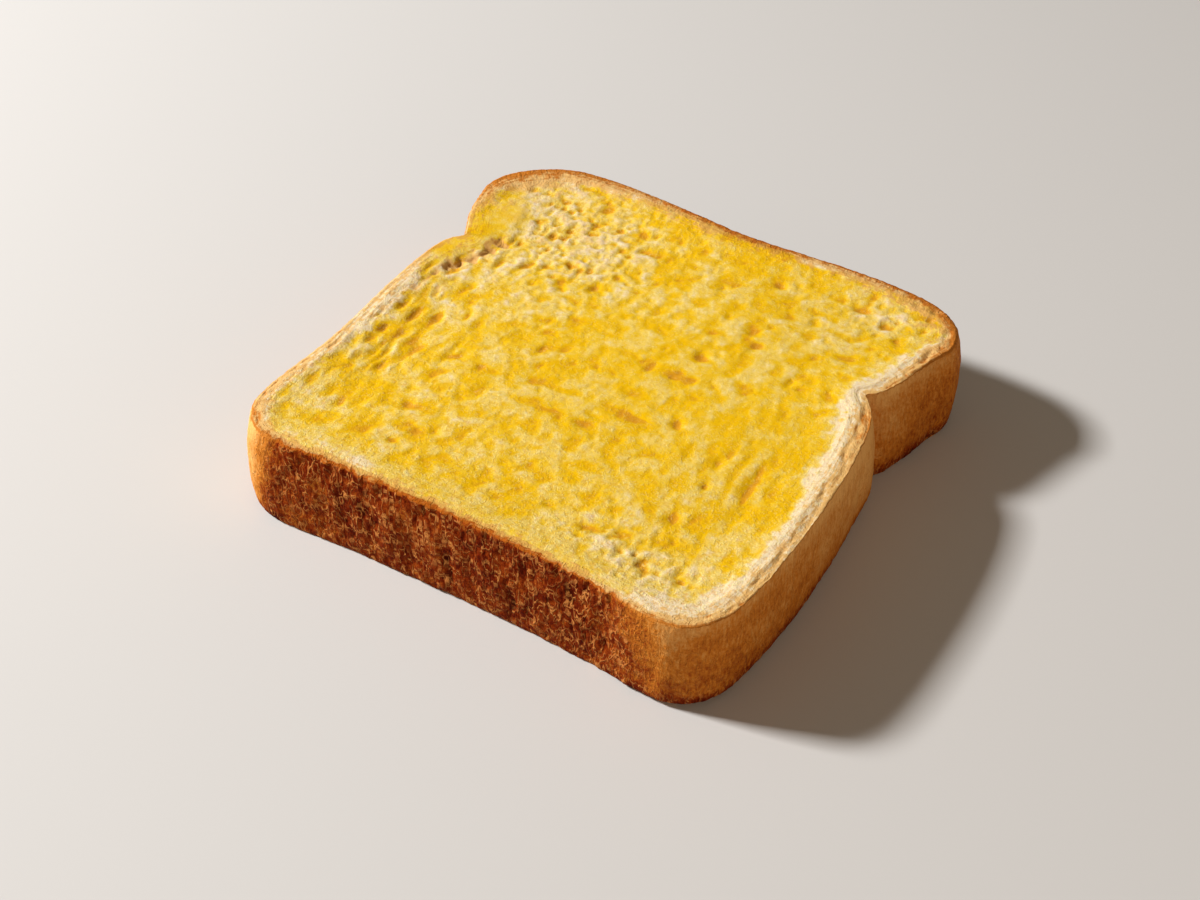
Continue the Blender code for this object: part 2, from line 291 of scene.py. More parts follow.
# Open cells that stand out in the crumb: place, half width, half length and depth.
OPEN_CELLS = (
    (5.3, 40.5, 2.4, 0.9, 0.55),
    (21.3, 47.3, 1.1, 1.3, 0.75),
    (34.1, 42.0, 1.5, 2.5, 0.60),
    (35.2, 34.5, 0.8, 1.0, 0.80),
    (34.1, 23.4, 2.0, 1.3, 0.75),
    (21.7, 21.7, 0.8, 0.8, 0.55),
    (21.7, 12.6, 2.1, 0.8, 0.80),
    (28.3, 15.0, 1.6, 1.0, 0.75),
    (32.3, 12.8, 1.1, 1.1, 0.80),
    (35.0, 10.6, 1.1, 1.1, 0.80),
    (36.8, 8.2, 0.9, 1.1, 0.70),
    (29.2, 11.0, 0.9, 0.9, 0.65),
    (43.8, 10.1, 1.1, 1.1, 0.75),
    (42.5, 38.9, 1.1, 4.2, 0.60),
    (46.9, 42.0, 0.9, 3.5, 0.50),
    (37.6, 101.1, 1.8, 1.1, 1.10),
    (41.2, 103.9, 0.9, 0.9, 0.70),
    (46.5, 101.4, 1.0, 0.7, 0.70),
    (46.1, 98.9, 1.5, 1.0, 0.60),
    (48.9, 95.3, 0.6, 0.9, 0.90),
    (52.9, 101.3, 0.8, 1.1, 0.90),
    (48.0, 108.4, 0.9, 0.6, 0.70),
    (53.0, 108.4, 1.1, 0.8, 0.70),
    (52.7, 105.3, 0.9, 0.9, 0.80),
    (57.8, 101.7, 0.8, 1.6, 0.70),
    (57.0, 94.2, 0.6, 2.0, 0.60),
    (18.4, 99.5, 1.3, 0.9, 0.90),
    (21.7, 101.7, 0.8, 0.7, 0.60),
    (31.2, 91.5, 1.1, 1.1, 0.70),
    (7.3, 92.4, 1.2, 1.2, 0.60),
    (20.8, 81.6, 1.9, 1.2, 0.70),
    (23.5, 77.4, 1.2, 2.4, 0.60),
    (35.4, 71.2, 1.0, 2.0, 0.80),
    (15.1, 68.9, 1.4, 1.8, 0.85),
    (-30.1, 103.0, 1.2, 1.4, 1.00),
    (-29.2, 97.3, 1.1, 0.9, 0.85),
    (-35.9, 101.3, 1.1, 1.3, 0.80),
    (-41.2, 101.3, 1.3, 1.1, 0.80),
    (-20.4, 102.2, 1.1, 0.8, 0.75),
    (-17.7, 99.5, 1.6, 1.5, 0.65),
    (-35.9, 88.4, 1.1, 1.5, 1.00),
    (-35.0, 81.3, 0.8, 0.8, 0.80),
    (-34.8, 76.0, 1.3, 1.5, 0.90),
    (-43.0, 79.6, 0.7, 0.9, 0.90),
    (-40.7, 73.4, 0.7, 2.2, 1.10),
    (-14.6, 94.6, 1.3, 1.0, 0.75),
    (-23.0, 98.6, 0.9, 0.9, 0.65),
    (-21.7, 82.2, 0.8, 1.6, 0.75),
    (-17.3, 76.9, 1.1, 1.5, 0.85),
    (-23.9, 72.5, 0.8, 2.0, 0.75),
    (-38.5, 93.7, 1.0, 1.1, 0.75),
    (-33.2, 92.0, 1.0, 1.0, 0.65),
    (-49.6, 93.3, 0.9, 0.9, 0.70),
    (-26.6, 81.3, 1.0, 1.0, 0.60),
    (-31.0, 77.4, 0.8, 1.5, 0.65),
    (-50.1, 48.7, 0.9, 2.2, 1.15),
    (-45.9, 47.4, 1.1, 2.6, 1.15),
    (-41.1, 49.2, 1.2, 1.6, 1.00),
    (-48.9, 39.7, 0.7, 1.8, 1.00),
    (-44.6, 41.2, 1.0, 2.2, 0.75),
    (-39.9, 38.9, 1.7, 2.7, 0.80),
    (-49.3, 35.2, 0.8, 1.8, 1.00),
    (-42.4, 29.9, 0.7, 2.1, 0.95),
    (-48.0, 29.4, 0.8, 1.5, 0.80),
    (-31.7, 41.4, 0.9, 5.4, 0.55),
    (-32.1, 27.7, 1.1, 1.1, 0.65),
    (-30.0, 23.0, 1.8, 1.4, 0.90),
    (-20.1, 19.1, 1.3, 1.1, 0.75),
    (-42.4, 15.7, 1.0, 1.4, 0.70),
    (-41.1, 9.3, 1.6, 1.2, 0.55),
    (-25.7, 12.3, 1.1, 0.9, 0.50),
)

# Soft dips where melted butter has gathered: place, half width, half length and depth.
BUTTER_DIPS = (
    (12.4, 44.7, 2.6, 2.3, 0.50),
    (44.7, 31.0, 1.4, 6.0, 0.50),
    (37.6, 16.8, 2.9, 2.2, 0.45),
    (50.9, 30.0, 0.9, 8.0, 0.40),
    (25.2, 27.0, 2.6, 1.7, 0.35),
    (12.0, 78.2, 1.6, 2.1, 0.40),
    (2.7, 74.3, 2.3, 2.2, 0.40),
    (43.4, 82.7, 1.1, 2.3, 0.40),
    (-7.1, 85.8, 2.2, 1.7, 0.40),
    (-17.7, 70.3, 1.8, 1.6, 0.45),
    (-10.3, 29.4, 2.4, 1.4, 0.40),
    (-21.9, 30.7, 2.2, 1.6, 0.40),
    (-3.0, 38.0, 4.2, 2.6, 0.35),
    (-13.0, 45.0, 3.4, 2.6, 0.35),
    (2.0, 55.0, 5.0, 3.4, 0.35),
    (-20.0, 56.0, 3.2, 3.0, 0.35),
    (13.0, 60.0, 4.4, 2.6, 0.35),
    (30.0, 58.0, 2.2, 5.0, 0.35),
    (44.0, 60.0, 1.6, 6.5, 0.40),
    (3.0, 22.0, 3.4, 1.8, 0.30),
    (39.0, 50.0, 1.5, 4.4, 0.35),
)

# Torn crevices beside the left notch: their course, half width and depth.
CREVICES = (
    (((-44.5, 79.0), (-45.2, 75.9), (-46.0, 72.0), (-47.9, 68.2), (-49.1, 65.6)), 1.7, 1.2),
    (((-50.6, 62.0), (-51.4, 58.0), (-51.2, 54.5)), 0.6, 0.45),
    (((-46.4, 62.6), (-46.9, 58.0), (-46.2, 54.4)), 0.6, 0.4),
    (((-52.4, 50.0), (-52.8, 44.0), (-52.2, 38.0)), 0.4, 0.35),
)

# Tears in the layers of the rim, between the pale band and the brim.
RIM_TEARS = (
    (((52.6, 71.6), (53.2, 69.4), (53.8, 66.8), (54.6, 63.6), (55.2, 61.8)), 0.45, 0.50),
    (((54.0, 60.8), (54.9, 57.5), (55.6, 55.0), (56.0, 53.0)), 0.40, 0.55),
    (((-55.9, 33.5), (-55.4, 29.0)), 0.40, 0.45),
    (((-54.2, 31.0), (-54.0, 26.5)), 0.35, 0.40),
    (((-56.2, 22.5), (-56.6, 17.0)), 0.45, 0.50),
    (((-54.6, 20.0), (-55.0, 14.5)), 0.35, 0.45),
    (((-57.0, 13.5), (-56.6, 9.0)), 0.45, 0.60),
    (((-55.2, 10.5), (-54.4, 6.5)), 0.40, 0.50),
    (((-53.6, 9.0), (-52.6, 5.5)), 0.30, 0.35),
    (((-53.8, 3.2), (-51.6, 1.2)), 0.45, 0.50),
    (((54.4, 50.0), (55.2, 48.0)), 0.30, 0.40),
    (((56.6, 50.5), (56.9, 47.0)), 0.42, 0.60),
    (((55.6, 47.0), (56.0, 44.0), (56.2, 40.0)), 0.32, 0.50),
    (((55.1, 44.5), (55.0, 41.5)), 0.28, 0.45),
    (((56.3, 38.0), (56.3, 33.5), (56.5, 31.0)), 0.32, 0.50),
    (((57.2, 31.0), (57.3, 28.0)), 0.35, 0.45),
    (((56.1, 28.5), (56.5, 25.5), (57.0, 23.5)), 0.32, 0.50),
    (((57.0, 21.5), (57.3, 19.8)), 0.30, 0.40),
    (((55.8, 19.0), (55.9, 15.5)), 0.35, 0.45),
    (((56.6, 12.6), (56.2, 9.5)), 0.32, 0.45),
    (((55.4, 9.0), (54.8, 7.0)), 0.42, 0.50),
    (((53.2, 5.6), (52.2, 4.2)), 0.45, 0.55),
    (((48.4, 2.2), (47.0, 1.2)), 0.50, 0.45),
    (((43.8, -0.2), (42.4, -0.6)), 0.42, 0.45),
    (((53.6, 79.8), (54.4, 82.2)), 0.40, 0.45),
    (((55.4, 85.6), (56.0, 88.2)), 0.38, 0.50),
    (((56.6, 90.6), (57.2, 93.4)), 0.42, 0.60),
    (((57.6, 95.0), (58.6, 97.6)), 0.42, 0.55),
)

# Where the butter lies: middle, reach and how much it adds. A negative amount stayed dry.
BUTTER_EVERYWHERE = 0.52
LEAST_BUTTER = 0.36
DRY_BUTTER = 0.09
BUTTER_PATCHES = (
    ((8.0, 50.0), (28.0, 30.0), 0.16),
    ((46.0, 62.0), (7.0, 26.0), 0.14),
    ((2.0, 107.0), (27.0, 4.5), 0.25),
    ((-33.0, 90.0), (22.0, 20.0), -0.48),
    ((-43.0, 100.0), (8.0, 6.5), -0.30),
    ((-46.0, 46.0), (12.0, 34.0), -0.16),
    ((37.5, 9.0), (12.5, 6.0), -0.50),
    ((25.0, 13.0), (11.0, 5.5), -0.20),
    ((43.5, 100.5), (8.0, 5.0), -0.50),
    ((-29.0, 2.8), (9.0, 1.7), -0.40),
    ((-48.5, 66.0), (4.5, 9.0), -0.25),
    ((-49.5, 87.5), (5.0, 8.0), 0.55),
    ((-50.8, 78.5), (4.4, 5.2), 0.40),
    ((-54.2, 71.0), (3.0, 5.0), 0.35),
)
# The pool in the left notch covers the dry band.
POOL_PATCHES = (
    ((-49.0, 86.8), (4.4, 7.5)),
    ((-51.5, 78.5), (5.2, 5.5)),
    ((-54.6, 71.0), (3.4, 5.0)),
)

# The masks on the mesh, which its colours follow: how deep in a cell, how soaked with butter, how far
# from crumb to crust, how far the crust has browned, and how strong the fine grain of the crumb is.
MASKS = ("hollow", "butter", "crust", "browning", "grain")
# Standing butter smooths the middle of the crumb: middle, reach and how much of the grain it hides.
SMOOTH_MIDDLE = ((14.0, 68.0), (46.0, 42.0), 0.8)
# The mesh also carries a place along the skin: round the outline, in from it, and up. The way in is
# below nothing down the side, and stops at a depth where nothing reads it any more.
SKIN_PLACE = "skin_place"
FARTHEST_IN = 12.0

# The golden crust is painted darker low down and much darker at its foot, as painted shade, and paler below
# the brim, as painted light from above.
WALL_SHADE_AND_LIGHT = 0.12
LOW_RUN = (18.0, 2.0)
FOOT_RUN = (5.0, 1.0)
HIGH_RUN = (18.0, 23.5)
# How much darker the crust is painted in a valley that is one millimetre deep: painted shade in the valley.
VALLEY_SHADE = 0.3
# The crust mask on the wall, past the value where the crust's own colour is full.
FULL_CRUST = 1.2
# How much more toasted the torn layers look, and the spots of dry crumb: middle, reach and amount.
TEAR_TOAST = 0.25
TOASTED_SPOTS = (
    ((-30.0, 90.0), (25.0, 21.0), 0.22),
    ((34.0, 10.0), (15.0, 7.0), 0.15),
    ((43.5, 100.5), (9.0, 6.5), 0.16),
    ((-50.5, 58.0), (3.5, 16.0), 0.20),
)
# How much more browned the bottom of a deep crevice is painted, partly as toasting and partly as painted
# shade, and the depths between which it sets in.
CREVICE_TOAST_AND_SHADE = 0.42
CREVICE_RUN = (0.6, 0.85)

# The camera stands where the real one did, worked out from the outline's perspective.
CAMERA_PLACE = (139.7, -230.9, 259.7)
CAMERA_TARGET = (-1.95, -2.88, 0.0)
LENS_MM = 50.0

# The key light's direction follows from the slice's shadow.
KEY_DIRECTION = (-0.75, -0.26, 0.61)
KEY_DISTANCE = 1500.0
KEY_SIZE = 190.0
FILL_DIRECTION = (0.85, -0.5, 0.45)
FILL_DISTANCE = 1100.0
FILL_SIZE = 900.0


def linear(hex_colour):
    """A linear RGBA colour from an sRGB hex value."""
    parts = [int(hex_colour[i : i + 2], 16) / 255.0 for i in (1, 3, 5)]
    return [p / 12.92 if p <= 0.04045 else ((p + 0.055) / 1.055) ** 2.4 for p in parts] + [1.0]


class ToastShape(bpy.types.PropertyGroup):
    """Depths of the relief, which can be changed without changing the slice's outline."""

    hollow_depth: FloatProperty(
        name="Hollow depth",
        description="Depth of the crumb's large open cells",
        default=0.55 * MM,
        unit="LENGTH",
    )
    pore_depth: FloatProperty(
        name="Pore depth",
        description="Depth of the finer pores between the large cells",
        default=0.6 * MM,
        unit="LENGTH",
    )
    wrinkle_depth: FloatProperty(
        name="Wrinkle depth",
        description="Depth of the upright wrinkles in the base crust",
        default=0.5 * MM,
        unit="LENGTH",
    )
    crinkle_depth: FloatProperty(
        name="Crinkle depth",
        description="Depth of the fine crinkles in the browned crust",
        default=0.36 * MM,
        unit="LENGTH",
    )


def colour_property(name, description, hex_colour):
    """A colour that the panel shows, with an sRGB hex value as its default."""
    return FloatVectorProperty(
        name=name, description=description, subtype="COLOR", size=4, default=linear(hex_colour)
    )


class ToastColours(bpy.types.PropertyGroup):
    """Colours of the crumb, the butter and the crust."""

    dry_crumb: colour_property("Dry crumb", "Crumb that the butter hasn't reached", "#E4D2B0")
    moist_crumb: colour_property("Moist crumb", "Crumb with a little butter", "#E0C468")
    soaked_crumb: colour_property("Soaked crumb", "Crumb full of butter", "#DFB82C")
    pooled_butter: colour_property("Pooled butter", "Crumb with melted butter standing in it", "#E0B208")
    # Partly painted shade: the bottom of an open cell is a darker gold for its butter and for the shade that
    # falls in it.
    cell_bottom_and_shade: colour_property("Deep cell", "Bottom of an open cell", "#C88A22")
    # Painted highlight: the pale fibre colour also stands in for the small glints on the crumb's fibres.
    pale_fibre_and_glint: colour_property("Pale fibre", "Fibre of the crumb that catches the light", "#F2E59A")
    tan_band: colour_property("Tan band", "Dry crumb that was lightly toasted", "#DAB070")
    buttered_tan: colour_property("Buttered tan", "Lightly toasted crumb with butter", "#CC941C")
    golden_line: colour_property("Golden line", "Toasted edge of the crumb beside a golden crust", "#BC742C")
    browned_line: colour_property("Browned line", "Toasted edge of the crumb beside a brown crust", "#AA5A18")
    pale_crust: colour_property("Pale crust", "Least browned crust", "#EBB268")
    golden_crust: colour_property("Golden crust", "Crust browned to gold", "#CA7A29")
    brown_crust: colour_property("Brown crust", "Well browned crust", "#8C380C")
    dark_crust: colour_property("Dark crust", "Darkly browned base crust", "#641902")
    scorched_crust: colour_property("Scorched crust", "Darkest spots of the base crust", "#420D01")
    crust_fleck: colour_property("Crust fleck", "Light crinkle on the dark crust", "#D48A48")


class StageLook(bpy.types.PropertyGroup):
    """The studio round the slice."""

    floor: colour_property("Floor", "Colour of the plain floor", "#C6C6C8")
    key_power: FloatProperty(
        name="Key power", description="Power of the key light in watts", default=37.0, unit="POWER"
    )
    fill_power: FloatProperty(
        name="Fill power", description="Power of the fill light in watts", default=2.6, unit="POWER"
    )
    sky_strength: FloatProperty(
        name="Sky strength", description="Brightness of the plain surroundings", default=0.15
    )


def smooth_step(low, high, value):
    t = np.clip((value - low) / (high - low), 0.0, 1.0)
    return t * t * (3.0 - 2.0 * t)


def smooth_run(knots, steps=40):
    """Points along a smooth open curve that passes through every knot."""
    pts = np.array(knots, float)
    ends = np.vstack([2 * pts[0] - pts[1], pts, 2 * pts[-1] - pts[-2]])
    t = np.linspace(0.0, 1.0, steps, endpoint=False)[:, None]
    runs = []
    for a, b, c, d in zip(ends, ends[1:], ends[2:], ends[3:]):
        bend = 2 * a - 5 * b + 4 * c - d
        twist = 3 * b - a - 3 * c + d
        runs.append(0.5 * (2 * b + (c - a) * t + bend * t**2 + twist * t**3))
    return np.vstack(runs)


def outline_loop():
    """The closed outline, counter-clockwise, centred on the slice."""
    loop = np.vstack([smooth_run(BODY_KNOTS), smooth_run(DOME_KNOTS)])
    return loop - (MIDDLE_X, MIDDLE_Y)


def closer_at_the_rim(count):
    """count + 1 shares from 0 to 1 that lie closer together near both ends."""
    middles = (np.arange(count) + 0.5) / count
    steps = RIM_STEP + (1.0 - RIM_STEP) * smooth_step(*RIM_RUN, np.minimum(middles, 1.0 - middles))
    return np.concatenate([[0.0], np.cumsum(steps)]) / steps.sum()


def between(loop, start, end, count):
    """count + 1 points of the closed loop, from point number start on to number end."""
    if end <= start:
        end += len(loop)
    run = loop[np.arange(start, end + 1) % len(loop)]
    along = np.concatenate([[0.0], np.cumsum(np.linalg.norm(np.diff(run, axis=0), axis=1))])
    at = along[-1] * closer_at_the_rim(count)
    return np.stack([np.interp(at, along, run[:, k]) for k in range(2)], axis=1)


def border_cells():
    """The (row, column) of each border point of the fine grid, counter-clockwise."""
    across, up = COLUMNS * FINE, ROWS * FINE
    cells = [(0, c) for c in range(across)]
    cells += [(r, across) for r in range(up)]
    cells += [(up, c) for c in range(across, 0, -1)]
    cells += [(r, 0) for r in range(up, 0, -1)]
    return np.array(cells)


def border_and_inward():
    """The outline's points at the border cells, and the unit vector at each that points into the slice."""
    loop = outline_loop()
    corners = np.array(GRID_CORNERS) - (MIDDLE_X, MIDDLE_Y)
    at = [int(np.argmin(np.linalg.norm(loop - c, axis=1))) for c in corners]
    counts = (COLUMNS * FINE, ROWS * FINE) * 2
    sides = [between(loop, at[k], at[(k + 1) % 4], counts[k])[:-1] for k in range(4)]
    border = np.vstack(sides)
    along = np.roll(border, -1, axis=0) - np.roll(border, 1, axis=0)
    inward = np.stack([-along[:, 1], along[:, 0]], axis=1)
    return border, inward / np.linalg.norm(inward, axis=1)[:, None]


def fade(t):
    """How much of a side's shape is left at the share t of the way to the opposite side."""
    return (1.0 - t) ** 3


def filled_grid(border):
    """Places of the fine grid's points, [row, column], with the given border and an even inside."""
    across, up = COLUMNS * FINE, ROWS * FINE
    cells = border_cells()
    grid = np.zeros((up + 1, across + 1, 2))
    grid[cells[:, 0], cells[:, 1]] = border
    base, crown, left, right = grid[0], grid[-1], grid[:, 0], grid[:, -1]
    u = closer_at_the_rim(across)[None, :, None]
    v = closer_at_the_rim(up)[:, None, None]
    low = (1 - u) * base[0] + u * base[-1]
    high = (1 - u) * crown[0] + u * crown[-1]
    plain = (1 - v) * low + v * high
    return (
        plain
        + fade(v) * (base - plain[0])[None]
        + fade(1 - v) * (crown - plain[-1])[None]
        + fade(u) * (left - plain[:, 0])[:, None]
        + fade(1 - u) * (right - plain[:, -1])[:, None]
    )


def nearest_on_outline(points):
    """For each point, the distance to the outline and how far round the outline the nearest place is."""
    loop = outline_loop()
    steps = np.linalg.norm(np.roll(loop, -1, axis=0) - loop, axis=1)
    along = np.concatenate([[0.0], np.cumsum(steps)[:-1]])
    tree = kdtree.KDTree(len(loop))
    for i, (x, y) in enumerate(loop):
        tree.insert((x, y, 0.0), i)
    tree.balance()
    found = [tree.find((x, y, 0.0)) for x, y in points]
    return np.array([f[2] for f in found]), along[[f[1] for f in found]]


def flat_noise(x, y, lengths, seed):
    """Noise over the plane, with its own length along each axis."""
    return np.array([noise.noise(Vector((a, b, seed))) for a, b in zip(x / lengths[0], y / lengths[1])])


def broad_noise(x, y, length, seed):
    return flat_noise(x, y, (length, length), seed)


def solid_noise(points, lengths, seed=0.0):
    """Noise at each 3-D point, with its own length along each axis."""
    return np.array([noise.noise(Vector(p)) for p in points / np.array(lengths) + seed])


def ridged(values):
    """Turns noise into ridges, 1 where it changes sign and near 0 away from there."""
    return np.clip(1.0 - np.abs(values) * 2.6, 0.0, 1.0)


def cells(x, y, size, spread, seed):
    """A bowl in each cell of a mesh of cells: its depth from 0 to 1, and the cell's own share."""
    depths = np.empty(len(x))
    shares = np.empty(len(x))
    for i, (a, b) in enumerate(zip(x / size[0], y / size[1])):
        near, middles = noise.voronoi(Vector((a, b, seed)), distance_metric="DISTANCE")
        depths[i] = math.exp(-((near[0] / spread) ** 2))
        shares[i] = abs(noise.cell(Vector(middles[0]) * 7.31))
    return depths, shares


def bent(x, y):
    """The places with the crumb's waver, so that its cells aren't in line."""
    bent_x = x + CELL_BEND * broad_noise(x, y, CELL_BEND_LENGTH, 11.3)
    bent_y = y + CELL_BEND * broad_noise(x, y, CELL_BEND_LENGTH, 23.9)
    return bent_x, bent_y


def patch(x, y, middle, reach):
    """A round soft spot: 1 in its middle, near 0 past its reach."""
    return np.exp(-(((x - middle[0]) / reach[0]) ** 2) - ((y - middle[1]) / reach[1]) ** 2)


def deepest(x, y, table):
    """The depth at each place of the soft spots of a table: place, two reaches and depth."""
    depths = [depth * patch(x, y, (at_x, at_y), (wide, long)) for at_x, at_y, wide, long, depth in table]
    return np.max(depths, axis=0)


def from_base(x, y):
    """Places measured from the middle of the base, as the tables are."""
    return x + MIDDLE_X, y + MIDDLE_Y


def line_distance(x, y, course):
    """Distance from each place to a line of straight pieces."""
    nearest = np.full(len(x), 1e9)
    for (ax, ay), (bx, by) in zip(course, course[1:]):
        run_x, run_y = bx - ax, by - ay
        t = np.clip(((x - ax) * run_x + (y - ay) * run_y) / (run_x**2 + run_y**2), 0.0, 1.0)
        nearest = np.minimum(nearest, np.hypot(x - ax - t * run_x, y - ay - t * run_y))
    return nearest


def torn_along(x, y, table):
    """The depth at each place of the tears of a table: course, half width and depth."""
    waver_x = 0.9 * broad_noise(x, y, 2.2, 33.0)
    waver_y = 0.9 * broad_noise(x, y, 2.2, 36.0)
    ragged = np.clip(0.85 + 1.1 * broad_noise(x, y, 1.7, 39.0), 0.3, 1.3)
    tears = []
    for course, half_width, depth in table:
        away = line_distance(x + waver_x, y + waver_y, course)
        tears.append(depth * np.exp(-((away / (half_width * ragged)) ** 2)))
    return np.max(tears, axis=0) * np.minimum(ragged, 1.0)


def open_crumb(x, y):
    """How coarse the crumb is at a place, from 0, closed, to 1. It is coarser towards the crown's left."""
    left = LEFT_OPENNESS * smooth_step(*LEFT_RUN, x)
    crown = CROWN_OPENNESS * smooth_step(*CROWN_RUN, y)
    dry = PATCH_OPENNESS * patch(x, y, PATCH_MIDDLE, PATCH_REACH)
    strip = STRIP_CLOSING * smooth_step(*STRIP_RUN, y)
    return np.clip(PLAIN_OPENNESS + left + crown + dry - strip, 0.0, 1.0)


def by_direction(table, x, y):
    """The columns of a table for each place's direction from the slice's middle."""
    table = np.array(table)
    turn = np.degrees(np.arctan2(y, x))
    return [np.interp(turn, table[:, 0], table[:, k]) for k in range(1, table.shape[1])]


def pool_at(u, v):
    """The butter that stands in the left notch, from 0 to 1."""
    return np.max([np.clip(1.7 * patch(u, v, *spot), 0.0, 1.0) for spot in POOL_PATCHES], axis=0)


def butter_at(x, y, edge):
    """How much butter has soaked in, from 0, dry, to 1."""
    u, v = from_base(x, y)
    even = (1.0 - 0.7 * sponge_at(x, y)) * (1.0 - 0.8 * smooth_step(11.0, 5.0, v))
    uneven = 0.55 * broad_noise(x, y, 6.0, 41.7) + 0.5 * broad_noise(x, y, 3.0, 17.2)
    amount = np.maximum(BUTTER_EVERYWHERE + even * uneven, LEAST_BUTTER)
    for middle, reach, strength in BUTTER_PATCHES:
        amount = amount + strength * patch(u, v, middle, reach)
    amount = np.maximum(amount, DRY_BUTTER)
    ragged = 1.0 + 0.35 * broad_noise(x, y, 4.0, 58.1) + 0.35 * broad_noise(x, y, 1.4, 31.4)
    start = by_direction(ROUND_THE_SLICE, x, y)[0] * ragged
    inside = np.maximum(smooth_step(start * 0.85 - 0.3, start * 1.1 + 0.5, edge), pool_at(u, v))
    return np.clip(amount, 0.0, 1.0) * inside


def sponge_at(x, y):
    """How spongy and dry the crumb is: the front right, the crown's right and its left."""
    u, v = from_base(x, y)
    front = patch(u, v, (33.0, 10.0), (17.0, 8.0))
    right = 0.8 * patch(u, v, (43.5, 100.5), (10.0, 7.0))
    left = 1.1 * patch(u, v, (-33.0, 90.0), (22.0, 20.0))
    return np.clip(front + right + left, 0.0, 1.0)


def dry_toast(u, v):
    """How much more toasted the spots of dry crumb are at a place."""
    uneven = 1.0 + 0.5 * broad_noise(u, v, 5.0, 77.0)
    return uneven * sum(amount * patch(u, v, middle, reach) for middle, reach, amount in TOASTED_SPOTS)


def upper_face(x, y, edge, around, shape):
    """Height of the upper cut face above its plane, how deep in a cell a place is, and its tears."""
    dry = by_direction(ROUND_THE_SLICE, x, y)[0]
    u, v = from_base(x, y)
    pool = pool_at(u, v)
    calm = 1 - 0.9 * pool
    lip = LIP_HEIGHT * np.exp(-(((edge - LIP_MIDDLE) / LIP_SPREAD) ** 2)) * (1 - 0.7 * pool)
    dish = DISH_DEPTH * smooth_step(DISH_START, DISH_END, edge) * (1 - 0.7 * pool)
    swell = SWELL_HEIGHT * broad_noise(x, y, SWELL_LENGTH, 3.7) * smooth_step(0.0, SWELL_END, edge)

    bent_x, bent_y = bent(x, y)
    openness = open_crumb(x, y)
    inside = smooth_step(dry * 0.8, dry * 1.1 + 1.2, edge)
    sponge = sponge_at(x, y)
    closed_strip = np.maximum(smooth_step(4.0, 10.0, v), sponge * smooth_step(2.0, 4.5, v))

    bowl, share = cells(bent_x, bent_y, (CELL_WIDTH, CELL_LENGTH), HOLLOW_SPREAD, 0.35)
    hollow = bowl * (0.15 + 0.85 * share * share) * openness * smooth_step(HOLLOW_START, HOLLOW_END, edge)
    hollow = hollow * (1 - 0.6 * sponge)

    at_side = smooth_step(20.0, 40.0, np.abs(x + 3.0)) * smooth_step(46.0, 36.0, v - 30.0 + 0.3 * u)
    round_dip = flat_noise(bent_x, bent_y, DIP_SIZE, 71.0)
    side_dip = flat_noise(bent_x, bent_y, SIDE_DIP_SIZE, 83.0)
    dip = smooth_step(-0.02, 0.46, (1 - at_side) * round_dip + at_side * side_dip)
    dip = dip * inside * (0.25 + 0.75 * closed_strip) * (1 - 0.5 * sponge)

    round_pore, round_share = cells(bent_x, bent_y, PORE_SIZE, 0.40, 4.6)
    streak, streak_share = cells(bent_x, bent_y, STREAK_SIZE, 0.40, 8.2)
    pore = (1 - at_side) * round_pore * round_share**2 + at_side * streak * streak_share**2
    pore = pore * inside * (0.16 + 0.62 * openness + 0.5 * sponge) * closed_strip

    long_cell, long_share = cells(bent_x, bent_y, LONG_CELL_SIZE, 0.36, 15.5)
    at_left = smooth_step(-36.0, -43.0, u) * smooth_step(-54.5, -52.5, u)
    at_left = at_left * smooth_step(14.0, 30.0, v) * smooth_step(78.0, 70.0, v)
    long_cell = long_cell * smooth_step(0.25, 0.8, long_share) * at_left

    pin, pin_share = cells(bent_x, bent_y, PIN_SIZE, 0.44, 2.9)
    pins = pin * smooth_step(0.0, 0.45, pin_share) * (0.08 + 0.92 * sponge) * inside * closed_strip

    open_cells = deepest(u, v, OPEN_CELLS)
    butter_dips = deepest(u, v, BUTTER_DIPS)
    torn = torn_along(u, v, CREVICES)
    rim_torn = torn_along(u, v, RIM_TEARS)

    knobs = ridged(broad_noise(bent_x, bent_y, KNOB_SIZE, 52.3))
    knobs = 0.6 * knobs + 0.4 * ridged(broad_noise(bent_x, bent_y, KNOB_SIZE * 0.5, 57.7))
    knob_height = KNOB_HEIGHT * (0.45 + 0.3 * sponge + 0.6 * openness) * inside

    layers = flat_noise(edge, around, (0.8, 4.5), 9.5) + 0.7 * flat_noise(edge, around, (1.4, 9.0), 19.5)
    layers = LAYER_HEIGHT * layers * smooth_step(dry + 0.5, dry - 1.5, edge) * smooth_step(2.5, 4.5, dry)

    cut = (
        shape.hollow_depth / MM * hollow
        + shape.pore_depth / MM * pore
        + DIP_DEPTH * dip
        + LONG_CELL_DEPTH * long_cell
        + PIN_DEPTH * pins
        + np.maximum(0.7 * open_cells, 0.4 * butter_dips)
        + torn
        + 0.5 * rim_torn
    )
    height = lip - dish + swell + calm * (knob_height * (knobs - 0.5) - cut) + layers
    depth = calm * (
        0.60 * hollow
        + 0.85 * pore
        + 0.62 * dip
        + 0.75 * long_cell
        + 0.85 * pins
        + 0.95 * open_cells
        + 0.85 * butter_dips
        + 0.8 * torn
        + 0.5 * rim_torn
        - 0.22 * (knobs - 0.4)
    )
    return height, np.clip(depth, 0.0, 1.0), np.maximum(rim_torn, torn)


